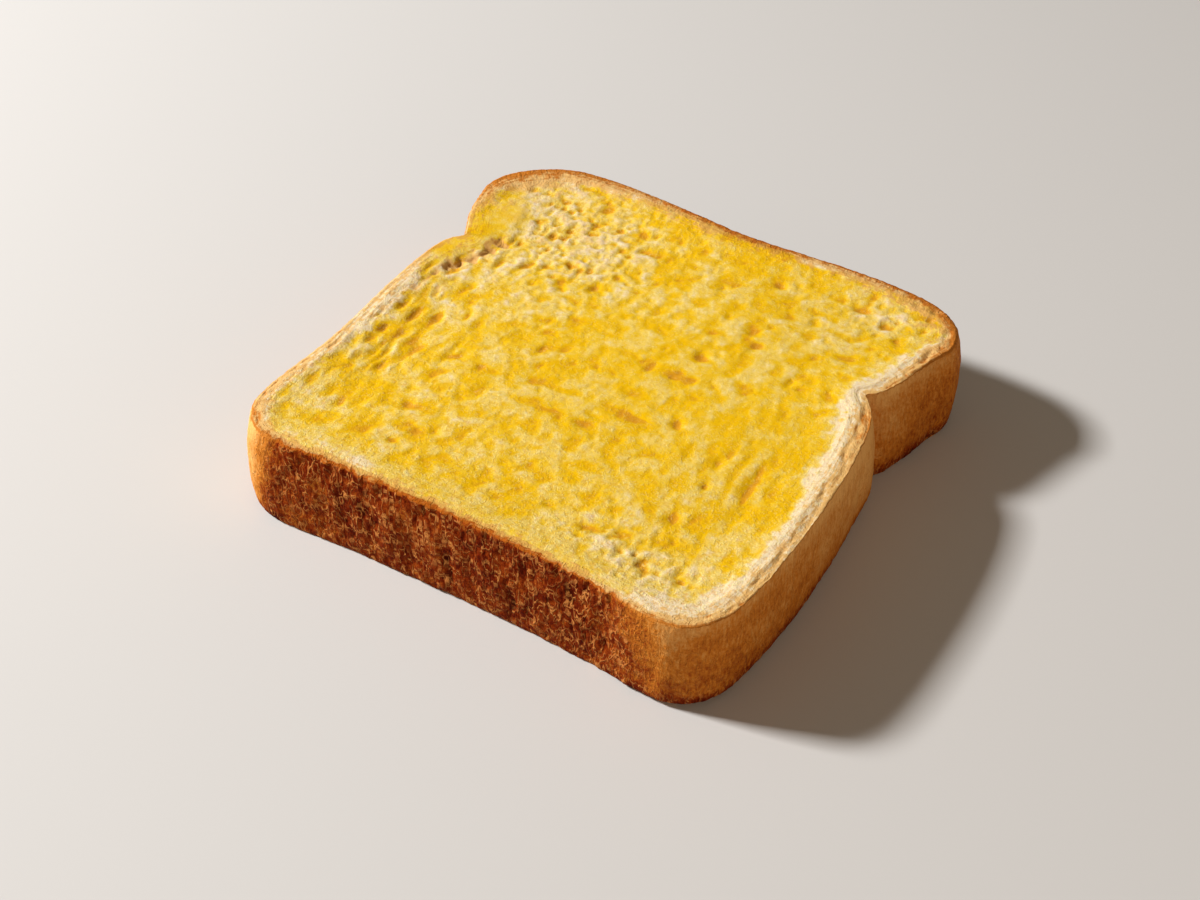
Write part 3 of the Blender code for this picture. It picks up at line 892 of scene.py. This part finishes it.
def side_place(level, brim, foot_round):
    """Height and inset of the side at a level: an arc at the foot, an upright wall, an arc at the brim."""
    top = LEVELS * FINE
    foot = np.radians(90.0) * (1.0 - np.clip(level / FOOT_LEVELS, 0.0, 1.0))
    over = np.radians(90.0) * np.clip((level - top + BRIM_LEVELS) / BRIM_LEVELS, 0.0, 1.0)
    share = np.clip((level - FOOT_LEVELS) / (top - BRIM_LEVELS - FOOT_LEVELS), 0.0, 1.0)
    brim_height = BRIM_HEIGHT * brim
    height = FOOT_HEIGHT * (1.0 - np.sin(foot)) + share * (THICKNESS - brim_height - FOOT_HEIGHT)
    height = height + brim_height * np.sin(over)
    return height, foot_round * (1.0 - np.cos(foot)) + BRIM_INSET * brim * (1.0 - np.cos(over))


def lean(border, height, halfway, foot):
    """How the wall leans outward from places on the outline, at their heights."""
    down = 1.0 - height / THICKNESS
    out = 4.0 * halfway * down * (1.0 - down) + foot * down * (2.0 * down - 1.0)
    return out[:, None] * border / np.linalg.norm(border, axis=1)[:, None]


def crust_relief(points, around, browning, shape):
    """Outward relief of the crust at each (x, y, height), and how deep in a valley of the base it is."""
    x, y, height = points.T
    on_base = smooth_step(*BASE_WALL_Y, y) * smooth_step(*BASE_WALL_X, np.abs(x))
    wrinkle = flat_noise(x, height, (WRINKLE_PITCH, WRINKLE_LENGTH), 1.9)
    wave = solid_noise(points, (WAVE_LENGTH,) * 3)
    middle = np.sin(math.pi * height / THICKNESS)
    valleys = deepest(x + MIDDLE_X + 1.6 * broad_noise(x, height, 2.4, 4.4), height, BASE_VALLEYS)
    valleys = valleys * on_base
    waver = points + 0.8 * np.stack([solid_noise(points, (2.6,) * 3, s) for s in (3.3, 8.8, 14.4)], axis=1)
    crinkle = ridged(solid_noise(waver, (1.5, 1.5, 2.6), 2.2))
    crinkle = 0.6 * crinkle + 0.4 * ridged(solid_noise(waver, (0.9, 0.9, 1.5), 7.3))
    lumps = solid_noise(points, (3.0, 3.0, 4.0), 21.0)
    rough = smooth_step(0.45, 0.75, browning)
    clefts = smooth_step(-0.02, -0.34, flat_noise(around, height, (1.9, 9.0), 6.6))
    clefts = clefts * smooth_step(5.5, 0.6, THICKNESS - height)
    upright = flat_noise(around, height, (1.3, 7.0), 12.7)
    relief = (
        middle * (on_base * shape.wrinkle_depth / MM * wrinkle + WAVE_DEPTH * wave)
        + rough * (shape.crinkle_depth / MM * (crinkle - 0.45) + 0.25 * lumps)
        - 0.6 * valleys
        - 0.5 * on_base * rough * clefts
        + (1 - rough) * (0.14 * upright + 0.16 * (crinkle - 0.45))
    )
    return relief, valleys


def square_slab():
    """A closed slab of columns, rows and levels, then split finer, and less fine at its underside."""
    bpy.ops.object.select_all(action="DESELECT")
    bpy.ops.mesh.primitive_grid_add(x_subdivisions=COLUMNS, y_subdivisions=ROWS, size=2.0)
    slab = bpy.context.object
    bpy.ops.object.mode_set(mode="EDIT")
    bpy.ops.mesh.select_all(action="SELECT")
    bpy.ops.mesh.extrude_region_move(TRANSFORM_OT_translate={"value": (0.0, 0.0, LEVELS)})
    for level in range(1, LEVELS):
        bpy.ops.mesh.select_all(action="SELECT")
        bpy.ops.mesh.bisect(plane_co=(0.0, 0.0, level), plane_no=(0.0, 0.0, 1.0))
    bpy.ops.mesh.select_all(action="SELECT")
    bpy.ops.mesh.normals_make_consistent(inside=False)
    bpy.ops.mesh.subdivide(number_cuts=1)
    bpy.ops.mesh.select_mode(type="FACE")
    bpy.ops.mesh.select_all(action="DESELECT")
    bpy.ops.object.mode_set(mode="OBJECT")

    for face in slab.data.polygons:
        face.select = face.center.z > 1.0
    bpy.ops.object.mode_set(mode="EDIT")
    bpy.ops.mesh.subdivide(number_cuts=1)
    bpy.ops.object.mode_set(mode="OBJECT")
    return slab


def toasted_share(x, y, edge):
    """How toasted the upper face is near its brim, from crumb at 0 over tan and golden to crust at 1."""
    _, amount, reach, _, _ = by_direction(ROUND_THE_SLICE, x, y)
    ragged = 1.0 + 0.5 * broad_noise(x, y, 2.4, 63.0) + 0.3 * broad_noise(x, y, 1.1, 88.0)
    return amount * np.exp(-((edge / (reach * ragged)) ** 1.6))


def shape_slab(mesh, shape):
    """Moves the slab's points onto the slice and writes the masks that its colours follow."""
    count = len(mesh.vertices)
    flat = np.empty(count * 3, np.float32)
    mesh.vertices.foreach_get("co", flat)
    lattice = flat.reshape(-1, 3).astype(float)
    column = np.rint((lattice[:, 0] + 1.0) / 2.0 * COLUMNS * FINE).astype(int)
    row = np.rint((lattice[:, 1] + 1.0) / 2.0 * ROWS * FINE).astype(int)
    level = np.rint(lattice[:, 2] * FINE).astype(int)
    top_level = LEVELS * FINE

    border, inward = border_and_inward()
    _, border_around = nearest_on_outline(border)
    number = np.full((ROWS * FINE + 1, COLUMNS * FINE + 1), -1)
    edge_cells = border_cells()
    number[edge_cells[:, 0], edge_cells[:, 1]] = np.arange(len(edge_cells))
    at = number[row, column]
    side = at >= 0
    at_side = at[side]

    place = np.zeros((count, 3))
    edge, around = np.zeros(count), np.zeros(count)
    place[level == top_level, 2] = THICKNESS
    _, _, _, browning_at, brim = by_direction(ROUND_THE_SLICE, *border[at_side].T)
    halfway, foot, foot_round = by_direction(WALL_STANCE, *border[at_side].T)
    height, inset = side_place(level[side], brim, foot_round)
    around[side] = border_around[at_side]
    outline = np.column_stack([border[at_side], height])
    relief, valleys = crust_relief(outline, around[side], browning_at, shape)
    place[side, :2] = border[at_side] + lean(border[at_side], height, halfway, foot)
    place[side, :2] += inward[at_side] * (inset - relief)[:, None]
    place[side, 2] = height
    edge[side] = inset

    for face_level in (0, top_level):
        rim = np.zeros((len(border), 2))
        on_rim = side & (level == face_level)
        rim[at[on_rim]] = place[on_rim, :2]
        if face_level == 0:
            rim[1::2] = (rim[::2] + np.roll(rim[::2], -1, axis=0)) / 2
        inside = ~side & (level == face_level)
        place[inside, :2] = filled_grid(rim)[row[inside], column[inside]]
        edge[inside], around[inside] = nearest_on_outline(place[inside, :2])

    x, y = place[:, 0], place[:, 1]
    hollow, butter, crust = np.zeros(count), np.zeros(count), np.full(count, FULL_CRUST)
    _, _, _, browning, _ = by_direction(ROUND_THE_SLICE, x, y)
    # Painted shade: the base crust is darker in its valleys.
    browning[side] += VALLEY_SHADE * valleys
    top = level == top_level
    rise, hollow[top], tears = upper_face(x[top], y[top], edge[top], around[top], shape)
    place[top, 2] += rise
    butter[top] = butter_at(x[top], y[top], edge[top])

    near_top = level > top_level - BRIM_LEVELS
    brim_only = near_top & ~top
    crust[near_top] = toasted_share(x[near_top], y[near_top], edge[near_top])
    crust[top] += TEAR_TOAST * smooth_step(0.05, 0.3, tears) + dry_toast(*from_base(x[top], y[top]))
    # Toasting and painted shade at the bottoms of deep crevices.
    crust[top] += CREVICE_TOAST_AND_SHADE * smooth_step(*CREVICE_RUN, tears)
    over_brim = smooth_step(top_level - 1, top_level - BRIM_LEVELS, level[brim_only])
    crust[brim_only] += (FULL_CRUST - crust[brim_only]) * over_brim

    under = (level == 0) & ~side
    bent_x, bent_y = bent(x[under], y[under])
    bowl, share = cells(bent_x, bent_y, (CELL_WIDTH, CELL_LENGTH), HOLLOW_SPREAD, 5.35)
    pore, pore_share = cells(bent_x, bent_y, PORE_SIZE, 0.42, 9.1)
    cell = np.maximum(bowl * share, 0.6 * pore * pore_share**2) * smooth_step(3.5, 7.0, edge[under])
    place[under, 2] += 0.9 * cell
    hollow[under] = cell
    crust[under] = FULL_CRUST * smooth_step(3.6, 2.2, edge[under])

    # Painted shade low on the wall and at its foot, painted light below the brim.
    low = smooth_step(*LOW_RUN, place[:, 2]) + 2.5 * smooth_step(*FOOT_RUN, place[:, 2])
    high = smooth_step(*HIGH_RUN, place[:, 2])
    golden = 1 - smooth_step(0.55, 0.75, browning)
    browning = browning + WALL_SHADE_AND_LIGHT * golden * (low - high) * (level < top_level)

    middle, reach, hidden = SMOOTH_MIDDLE
    u, v = from_base(x, y)
    grain = (1.0 - hidden * patch(u, v, middle, reach)) * (1.0 - 0.8 * pool_at(u, v)) * top

    mesh.vertices.foreach_set("co", (place * MM).astype(np.float32).ravel())
    mesh.update()
    for name, values in zip(MASKS, (hollow, butter, crust, browning, grain)):
        mask = mesh.attributes.new(name, "FLOAT", "POINT")
        mask.data.foreach_set("value", np.clip(values, 0.0, 1.4).astype(np.float32))
    inner = np.minimum(edge, FARTHEST_IN)
    inner[side] -= THICKNESS - place[side, 2]
    inner[under] = -THICKNESS - inner[under]
    skin = np.column_stack([around, inner, place[:, 2]]) * MM
    mesh.attributes.new(SKIN_PLACE, "FLOAT_VECTOR", "POINT")
    mesh.attributes[SKIN_PLACE].data.foreach_set("vector", skin.astype(np.float32).ravel())


def add_node(tree, kind, output=0, inputs=(), stops=(), **settings):
    """Adds a node with its settings, its colour stops, and a link or a value for inputs. Gives an output."""
    node = tree.nodes.new(kind)
    for name, value in settings.items():
        setattr(node, name, value)
    for key, value in dict(inputs).items():
        if isinstance(value, bpy.types.NodeSocket):
            tree.links.new(value, node.inputs[key])
        else:
            node.inputs[key].default_value = value
    for number, (position, colour) in enumerate(stops):
        elements = node.color_ramp.elements
        element = elements[number] if number < len(elements) else elements.new(position)
        element.position = position
        element.color = colour
    return node.outputs[output]


def crinkled_lines(tree, place, size, width, broken_by):
    """Short curly lines about the given size, 0 to 1. They run where noise crosses its middle value."""
    scale = 1 / (size * MM)
    field = add_node(
        tree,
        "ShaderNodeTexNoise",
        "Fac",
        {"Vector": place, "Scale": scale, "Detail": 1.5, "Distortion": 0.5},
    )
    away = add_node(tree, "ShaderNodeMath", 0, {0: field, 1: 0.5}, operation="SUBTRACT")
    away = add_node(tree, "ShaderNodeMath", 0, {0: away}, operation="ABSOLUTE")
    line = add_node(
        tree,
        "ShaderNodeMapRange",
        0,
        {"Value": away, "From Min": width, "From Max": 0.0},
        interpolation_type="SMOOTHSTEP",
    )
    breaks = add_node(
        tree, "ShaderNodeTexNoise", "Fac", {"Vector": place, "Scale": scale * 0.8, "Detail": 1.0, "W": 3.0},
        noise_dimensions="4D",
    )
    part = add_node(
        tree,
        "ShaderNodeMapRange",
        0,
        {"Value": breaks, "From Min": broken_by - 0.08, "From Max": broken_by + 0.08},
        interpolation_type="SMOOTHSTEP",
    )
    return add_node(tree, "ShaderNodeMath", 0, {0: line, 1: part}, operation="MULTIPLY")


def crumb_colour(tree, masks, place, lumps, fibres, colours):
    """Buttered white crumb: cream where it stayed dry, then yellow, then gold where butter stands, with
    painted shade in the cells and pits and painted glints on the fibres.
    """
    mottle = add_node(
        tree,
        "ShaderNodeTexNoise",
        "Fac",
        {"Vector": place, "Scale": 1 / (1.7 * MM), "Detail": 3.0, "Roughness": 0.6},
    )
    mottle = add_node(tree, "ShaderNodeMath", 0, {0: mottle, 1: 1.0, 2: -0.58}, operation="MULTIPLY_ADD")
    gathered = add_node(
        tree, "ShaderNodeMath", 0, {0: masks["hollow"], 1: 0.9, 2: mottle}, operation="MULTIPLY_ADD"
    )
    reached = add_node(
        tree,
        "ShaderNodeMapRange",
        0,
        {"Value": masks["butter"], "From Min": 0.0, "From Max": 0.12, "To Min": 0.3, "To Max": 1.0},
    )
    soaked = add_node(
        tree,
        "ShaderNodeMath",
        0,
        {0: gathered, 1: reached, 2: masks["butter"]},
        operation="MULTIPLY_ADD",
        use_clamp=True,
    )
    stops = (
        (0.0, colours.dry_crumb),
        (0.34, colours.moist_crumb),
        (0.68, colours.soaked_crumb),
        (1.0, colours.pooled_butter),
    )
    crumb = add_node(tree, "ShaderNodeValToRGB", 0, {0: soaked}, stops)
    # The deepest cells are mixed towards a darker gold: painted shade at their bottoms.
    deep = add_node(
        tree,
        "ShaderNodeMapRange",
        0,
        {"Value": masks["hollow"], "From Min": 0.55, "From Max": 1.0, "To Max": 0.85},
        interpolation_type="SMOOTHSTEP",
    )
    crumb = add_node(tree, "ShaderNodeMix", 2, {0: deep, 6: crumb, 7: colours.cell_bottom_and_shade}, data_type="RGBA")
    # The smallest pits of the bump are painted a darker gold: painted shade in the pits, with the butter that
    # gathers there, which gives the open crumb a fine golden grain.
    shaded_pits = add_node(
        tree, "ShaderNodeMapRange", 0, {"Value": lumps, "From Min": 0.50, "From Max": 0.36, "To Max": 0.55}
    )
    shaded_pits = add_node(tree, "ShaderNodeMath", 0, {0: shaded_pits, 1: masks["grain"]}, operation="MULTIPLY")
    crumb = add_node(
        tree, "ShaderNodeMix", 2, {0: shaded_pits, 6: crumb, 7: colours.buttered_tan}, data_type="RGBA"
    )
    # Butter hides the pale fibres of the crumb, and with them their painted glints.
    bare = add_node(
        tree,
        "ShaderNodeMapRange",
        0,
        {"Value": soaked, "From Min": 0.25, "From Max": 0.85, "To Min": 0.60, "To Max": 0.25},
    )
    grainy = add_node(
        tree, "ShaderNodeMath", 0, {0: masks["grain"], 1: 0.6, 2: 0.4}, operation="MULTIPLY_ADD"
    )
    bare = add_node(tree, "ShaderNodeMath", 0, {0: bare, 1: grainy}, operation="MULTIPLY")
    pale = add_node(tree, "ShaderNodeMath", 0, {0: fibres, 1: bare}, operation="MULTIPLY")
    return add_node(tree, "ShaderNodeMix", 2, {0: pale, 6: crumb, 7: colours.pale_fibre_and_glint}, data_type="RGBA")


def crust_colour(tree, masks, place, lumps, upright, flecks, colours):
    """Oven-browned crust: a dark dry skin with light crinkles at the base, smoother gold at the sides."""
    broad = add_node(
        tree, "ShaderNodeTexNoise", "Fac", {"Vector": place, "Scale": 1 / (6.0 * MM), "Detail": 2.0}
    )
    # Each noise is about 0.5 on the whole, so what they add together is taken off again.
    uneven = -0.96
    for texture, strength in ((broad, 0.55), (lumps, 0.65), (upright, 0.75)):
        uneven = add_node(
            tree, "ShaderNodeMath", 0, {0: texture, 1: strength, 2: uneven}, operation="MULTIPLY_ADD"
        )
    # The golden crust is more even than the dark one.
    wild = add_node(
        tree,
        "ShaderNodeMapRange",
        0,
        {"Value": masks["browning"], "From Min": 0.35, "From Max": 0.70, "To Min": 0.65, "To Max": 1.0},
    )
    shade = add_node(
        tree, "ShaderNodeMath", 0, {0: uneven, 1: wild, 2: masks["browning"]}, operation="MULTIPLY_ADD"
    )
    shade = add_node(tree, "ShaderNodeMath", 0, {0: shade, 1: 0.05}, operation="SUBTRACT")
    stops = (
        (0.05, colours.pale_crust),
        (0.36, colours.golden_crust),
        (0.64, colours.brown_crust),
        (0.84, colours.dark_crust),
        (1.0, colours.scorched_crust),
    )
    skin = add_node(tree, "ShaderNodeValToRGB", 0, {0: shade}, stops)
    dark = add_node(
        tree,
        "ShaderNodeMapRange",
        0,
        {"Value": masks["browning"], "From Min": 0.45, "From Max": 0.75, "To Min": 0.15, "To Max": 0.95},
    )
    # The crinkles lie in loose patches a few millimetres across.
    patches = add_node(
        tree, "ShaderNodeTexNoise", "Fac", {"Vector": place, "Scale": 1 / (3.2 * MM), "Detail": 2.0}
    )
    varied = add_node(
        tree, "ShaderNodeMapRange", 0, {"Value": patches, "From Min": 0.38, "From Max": 0.58, "To Min": 0.35}
    )
    fleck = add_node(tree, "ShaderNodeMath", 0, {0: flecks, 1: dark}, operation="MULTIPLY")
    fleck = add_node(tree, "ShaderNodeMath", 0, {0: fleck, 1: varied}, operation="MULTIPLY")
    return add_node(tree, "ShaderNodeMix", 2, {0: fleck, 6: skin, 7: colours.crust_fleck}, data_type="RGBA")


def toasted_bread_material(colours):
    """White bread toasted and brushed with melted butter, which leaves the crumb moist and the crust dry."""
    material = bpy.data.materials.new("buttered toasted bread")
    material.use_nodes = True
    tree = material.node_tree
    shader = tree.nodes["Principled BSDF"]
    masks = {name: add_node(tree, "ShaderNodeAttribute", "Fac", attribute_name=name) for name in MASKS}
    skin = add_node(tree, "ShaderNodeAttribute", "Vector", attribute_name=SKIN_PLACE)
    place = add_node(tree, "ShaderNodeTexCoord", "Object")

    lumps = add_node(
        tree,
        "ShaderNodeTexNoise",
        "Fac",
        {"Vector": place, "Scale": 1 / (0.8 * MM), "Detail": 4.0, "Roughness": 0.68},
    )
    # The way in runs on down the side, so that strokes across the brim stand upright on the wall.
    along = add_node(tree, "ShaderNodeMapping", 0, {"Vector": skin, "Scale": (1.0, 0.26, 0.0)})
    upright = add_node(
        tree,
        "ShaderNodeTexNoise",
        "Fac",
        {"Vector": along, "Scale": 1 / (0.6 * MM), "Detail": 3.0, "Roughness": 0.6},
    )
    curly = add_node(tree, "ShaderNodeMapping", 0, {"Vector": skin, "Scale": (1.0, 0.5, 0.0)})
    fibres = crinkled_lines(tree, place, 0.8, 0.07, 0.50)
    flecks = crinkled_lines(tree, curly, 1.2, 0.08, 0.45)
    crumb = crumb_colour(tree, masks, place, lumps, fibres, colours)
    crust = crust_colour(tree, masks, place, lumps, upright, flecks, colours)

    # Dry layers run along the rim of the upper face, and nowhere else.
    way_in = add_node(tree, "ShaderNodeSeparateXYZ", 1, {0: skin})
    near_rim = add_node(
        tree,
        "ShaderNodeMapRange",
        0,
        {"Value": way_in, "From Min": 8.0 * MM, "From Max": 4.5 * MM},
        interpolation_type="SMOOTHSTEP",
    )
    above = add_node(
        tree, "ShaderNodeMapRange", 0, {"Value": way_in, "From Min": -1.4 * MM, "From Max": -0.3 * MM}
    )
    rim = add_node(tree, "ShaderNodeMath", 0, {0: near_rim, 1: above}, operation="MULTIPLY")
    layered = add_node(tree, "ShaderNodeMapping", 0, {"Vector": skin, "Scale": (0.10, 1.0, 0.0)})
    layers = add_node(
        tree,
        "ShaderNodeTexNoise",
        "Fac",
        {"Vector": layered, "Scale": 1 / (0.5 * MM), "Detail": 2.0, "Roughness": 0.6},
    )
    dots = add_node(
        tree, "ShaderNodeTexNoise", "Fac", {"Vector": place, "Scale": 1 / (1.1 * MM), "Detail": 2.5}
    )
    uneven = add_node(tree, "ShaderNodeMath", 0, {0: layers, 1: 0.7, 2: -0.7}, operation="MULTIPLY_ADD")
    uneven = add_node(tree, "ShaderNodeMath", 0, {0: dots, 1: 0.7, 2: uneven}, operation="MULTIPLY_ADD")
    toasted = add_node(
        tree, "ShaderNodeMath", 0, {0: uneven, 1: rim, 2: masks["crust"]}, operation="MULTIPLY_ADD"
    )
    # The bottoms of the cells are hidden from the heat.
    toasted = add_node(
        tree, "ShaderNodeMath", 0, {0: masks["hollow"], 1: -0.25, 2: toasted}, operation="MULTIPLY_ADD"
    )
    tan = add_node(
        tree,
        "ShaderNodeMix",
        2,
        {0: masks["butter"], 6: colours.tan_band, 7: colours.buttered_tan},
        data_type="RGBA",
    )
    browned = add_node(
        tree,
        "ShaderNodeMapRange",
        0,
        {"Value": masks["browning"], "From Min": 0.40, "From Max": 0.74},
        interpolation_type="SMOOTHSTEP",
    )
    line = add_node(
        tree,
        "ShaderNodeMix",
        2,
        {0: browned, 6: colours.golden_line, 7: colours.browned_line},
        data_type="RGBA",
    )
    surface = crumb
    for colour, low, high in ((tan, 0.10, 0.36), (line, 0.44, 0.84), (crust, 0.96, 1.14)):
        share = add_node(
            tree,
            "ShaderNodeMapRange",
            0,
            {"Value": toasted, "From Min": low, "From Max": high},
            interpolation_type="SMOOTHSTEP",
        )
        surface = add_node(tree, "ShaderNodeMix", 2, {0: share, 6: surface, 7: colour}, data_type="RGBA")
    tree.links.new(surface, shader.inputs["Base Color"])

    moist = add_node(
        tree, "ShaderNodeMath", 0, {0: masks["butter"], 1: -0.25, 2: 0.65}, operation="MULTIPLY_ADD"
    )
    tree.links.new(moist, shader.inputs["Roughness"])
    # Baked crumb is mostly starch and fat, with an IOR of about 1.46. Its pores swallow nearly all gloss.
    shader.inputs["IOR"].default_value = 1.46
    shader.inputs["Specular IOR Level"].default_value = 0.02
    # A thin film of butter gives small glints, and the dry crust has none.
    film = add_node(tree, "ShaderNodeMath", 0, {0: masks["butter"], 1: 0.4}, operation="MULTIPLY")
    tree.links.new(film, shader.inputs["Coat Weight"])
    shader.inputs["Coat Roughness"].default_value = 0.18
    shader.inputs["Coat IOR"].default_value = 1.46
    # Light goes a millimetre or two into moist crumb, and red goes furthest. The crust is nearly opaque.
    soft = add_node(
        tree,
        "ShaderNodeMath",
        0,
        {0: masks["crust"], 1: -0.25, 2: 0.25},
        operation="MULTIPLY_ADD",
        use_clamp=True,
    )
    tree.links.new(soft, shader.inputs["Subsurface Weight"])
    shader.inputs["Subsurface Radius"].default_value = (1.0, 0.8, 0.35)
    shader.inputs["Subsurface Scale"].default_value = 1.1 * MM

    rim_layers = add_node(tree, "ShaderNodeMath", 0, {0: layers, 1: rim}, operation="MULTIPLY")
    brown = add_node(
        tree, "ShaderNodeMath", 0, {0: masks["crust"], 1: masks["browning"]}, operation="MULTIPLY"
    )
    rough = add_node(tree, "ShaderNodeMath", 0, {0: lumps, 1: brown}, operation="MULTIPLY")
    raised = add_node(tree, "ShaderNodeMath", 0, {0: flecks, 1: brown}, operation="MULTIPLY")
    strokes = add_node(tree, "ShaderNodeMath", 0, {0: upright, 1: masks["crust"]}, operation="MULTIPLY")
    grains = add_node(tree, "ShaderNodeMath", 0, {0: lumps, 1: masks["grain"]}, operation="MULTIPLY")
    threads = add_node(tree, "ShaderNodeMath", 0, {0: fibres, 1: masks["grain"]}, operation="MULTIPLY")
    height = add_node(tree, "ShaderNodeMath", 0, {0: lumps, 1: 0.24}, operation="MULTIPLY")
    layers_of_relief = (
        (fibres, 0.08),
        (grains, 0.45),
        (threads, 0.12),
        (rim_layers, 0.3),
        (rough, 0.8),
        (raised, 0.8),
        (strokes, 0.35),
    )
    for texture, strength in layers_of_relief:
        height = add_node(
            tree, "ShaderNodeMath", 0, {0: texture, 1: strength, 2: height}, operation="MULTIPLY_ADD"
        )
    bump = add_node(tree, "ShaderNodeBump", 0, {"Strength": 0.8, "Distance": 0.5 * MM, "Height": height})
    tree.links.new(bump, shader.inputs["Normal"])
    return material


class TOAST_OT_slice(bpy.types.Operator):
    """Builds the slice of buttered toast with its crumb and crust"""

    bl_idname = "toast.slice"
    bl_label = "Slice of toast"

    def execute(self, context):
        scene = context.scene
        slab = square_slab()
        slab.name = "buttered_toast"
        slab.data.name = "buttered_toast"
        shape_slab(slab.data, scene.toast_shape)
        slab.data.materials.append(toasted_bread_material(scene.toast_colours))
        slab.data.shade_smooth()
        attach(slab, "root")
        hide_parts("toast_slice")
        return {"FINISHED"}


def matte_floor(colour):
    """Matte painted board: plain, pale and without gloss, so that it takes a soft shadow."""
    material = bpy.data.materials.new("matte painted board")
    material.use_nodes = True
    shader = material.node_tree.nodes["Principled BSDF"]
    shader.inputs["Base Color"].default_value = colour
    shader.inputs["Roughness"].default_value = 0.85
    return material


def soft_light(name, direction, distance, size, power, colour):
    """A square area light at a distance along a direction from the slice, facing it."""
    towards = Vector(direction).normalized()
    bpy.ops.object.light_add(type="AREA", location=towards * distance * MM)
    lamp = bpy.context.object
    lamp.name = name
    lamp.data.shape = "SQUARE"
    lamp.data.size = size * MM
    lamp.data.energy = power
    lamp.data.color = linear(colour)[:3]
    lamp.rotation_euler = towards.to_track_quat("Z", "Y").to_euler()


class TOAST_OT_stage(bpy.types.Operator):
    """Adds the floor, the soft studio light and the camera"""

    bl_idname = "toast.stage"
    bl_label = "Stage"

    def execute(self, context):
        scene = context.scene
        look = scene.toast_stage
        bpy.ops.object.select_all(action="DESELECT")
        bpy.ops.mesh.primitive_plane_add(size=8.0)
        floor = context.object
        floor.name = "floor"
        floor.data.materials.append(matte_floor(tuple(look.floor)))

        soft_light("key light", KEY_DIRECTION, KEY_DISTANCE, KEY_SIZE, look.key_power, "#FFFCF6")
        soft_light("fill light", FILL_DIRECTION, FILL_DISTANCE, FILL_SIZE, look.fill_power, "#FFE0B8")

        sky = bpy.data.worlds.new("plain surroundings")
        sky.use_nodes = True
        sky.node_tree.nodes["Background"].inputs["Color"].default_value = linear("#FFE8CC")
        sky.node_tree.nodes["Background"].inputs["Strength"].default_value = look.sky_strength
        scene.world = sky
        scene.view_settings.view_transform = "Standard"

        bpy.ops.object.camera_add(location=Vector(CAMERA_PLACE) * MM)
        camera = context.object
        away = (Vector(CAMERA_PLACE) - Vector(CAMERA_TARGET)).normalized()
        camera.rotation_euler = away.to_track_quat("Z", "Y").to_euler()
        camera.data.lens = LENS_MM
        camera.data.clip_start = 0.01
        scene.camera = camera
        return {"FINISHED"}


class TOAST_PT_panel(bpy.types.Panel):
    """Lists the steps that build the toast"""

    bl_label = "Toast"
    bl_space_type = "VIEW_3D"
    bl_region_type = "UI"
    bl_category = "Toast"

    def draw(self, context):
        scene = context.scene
        for group in (scene.toast_shape, scene.toast_colours, scene.toast_stage):
            for name in group.__annotations__:
                self.layout.prop(group, name)
        self.layout.operator(TOAST_OT_slice.bl_idname)
        self.layout.operator(TOAST_OT_stage.bl_idname)


CLASSES = (ToastShape, ToastColours, StageLook, TOAST_OT_slice, TOAST_OT_stage, TOAST_PT_panel)
GROUPS = {"toast_shape": ToastShape, "toast_colours": ToastColours, "toast_stage": StageLook}


def register():
    for cls in CLASSES:
        bpy.utils.register_class(cls)
    for name, group in GROUPS.items():
        setattr(bpy.types.Scene, name, PointerProperty(type=group))


def unregister():
    for name in GROUPS:
        delattr(bpy.types.Scene, name)
    for cls in reversed(CLASSES):
        bpy.utils.unregister_class(cls)


def main():
    register()
    bpy.ops.toast.slice()
    bpy.ops.toast.stage()


if __name__ == "__main__":
    main()
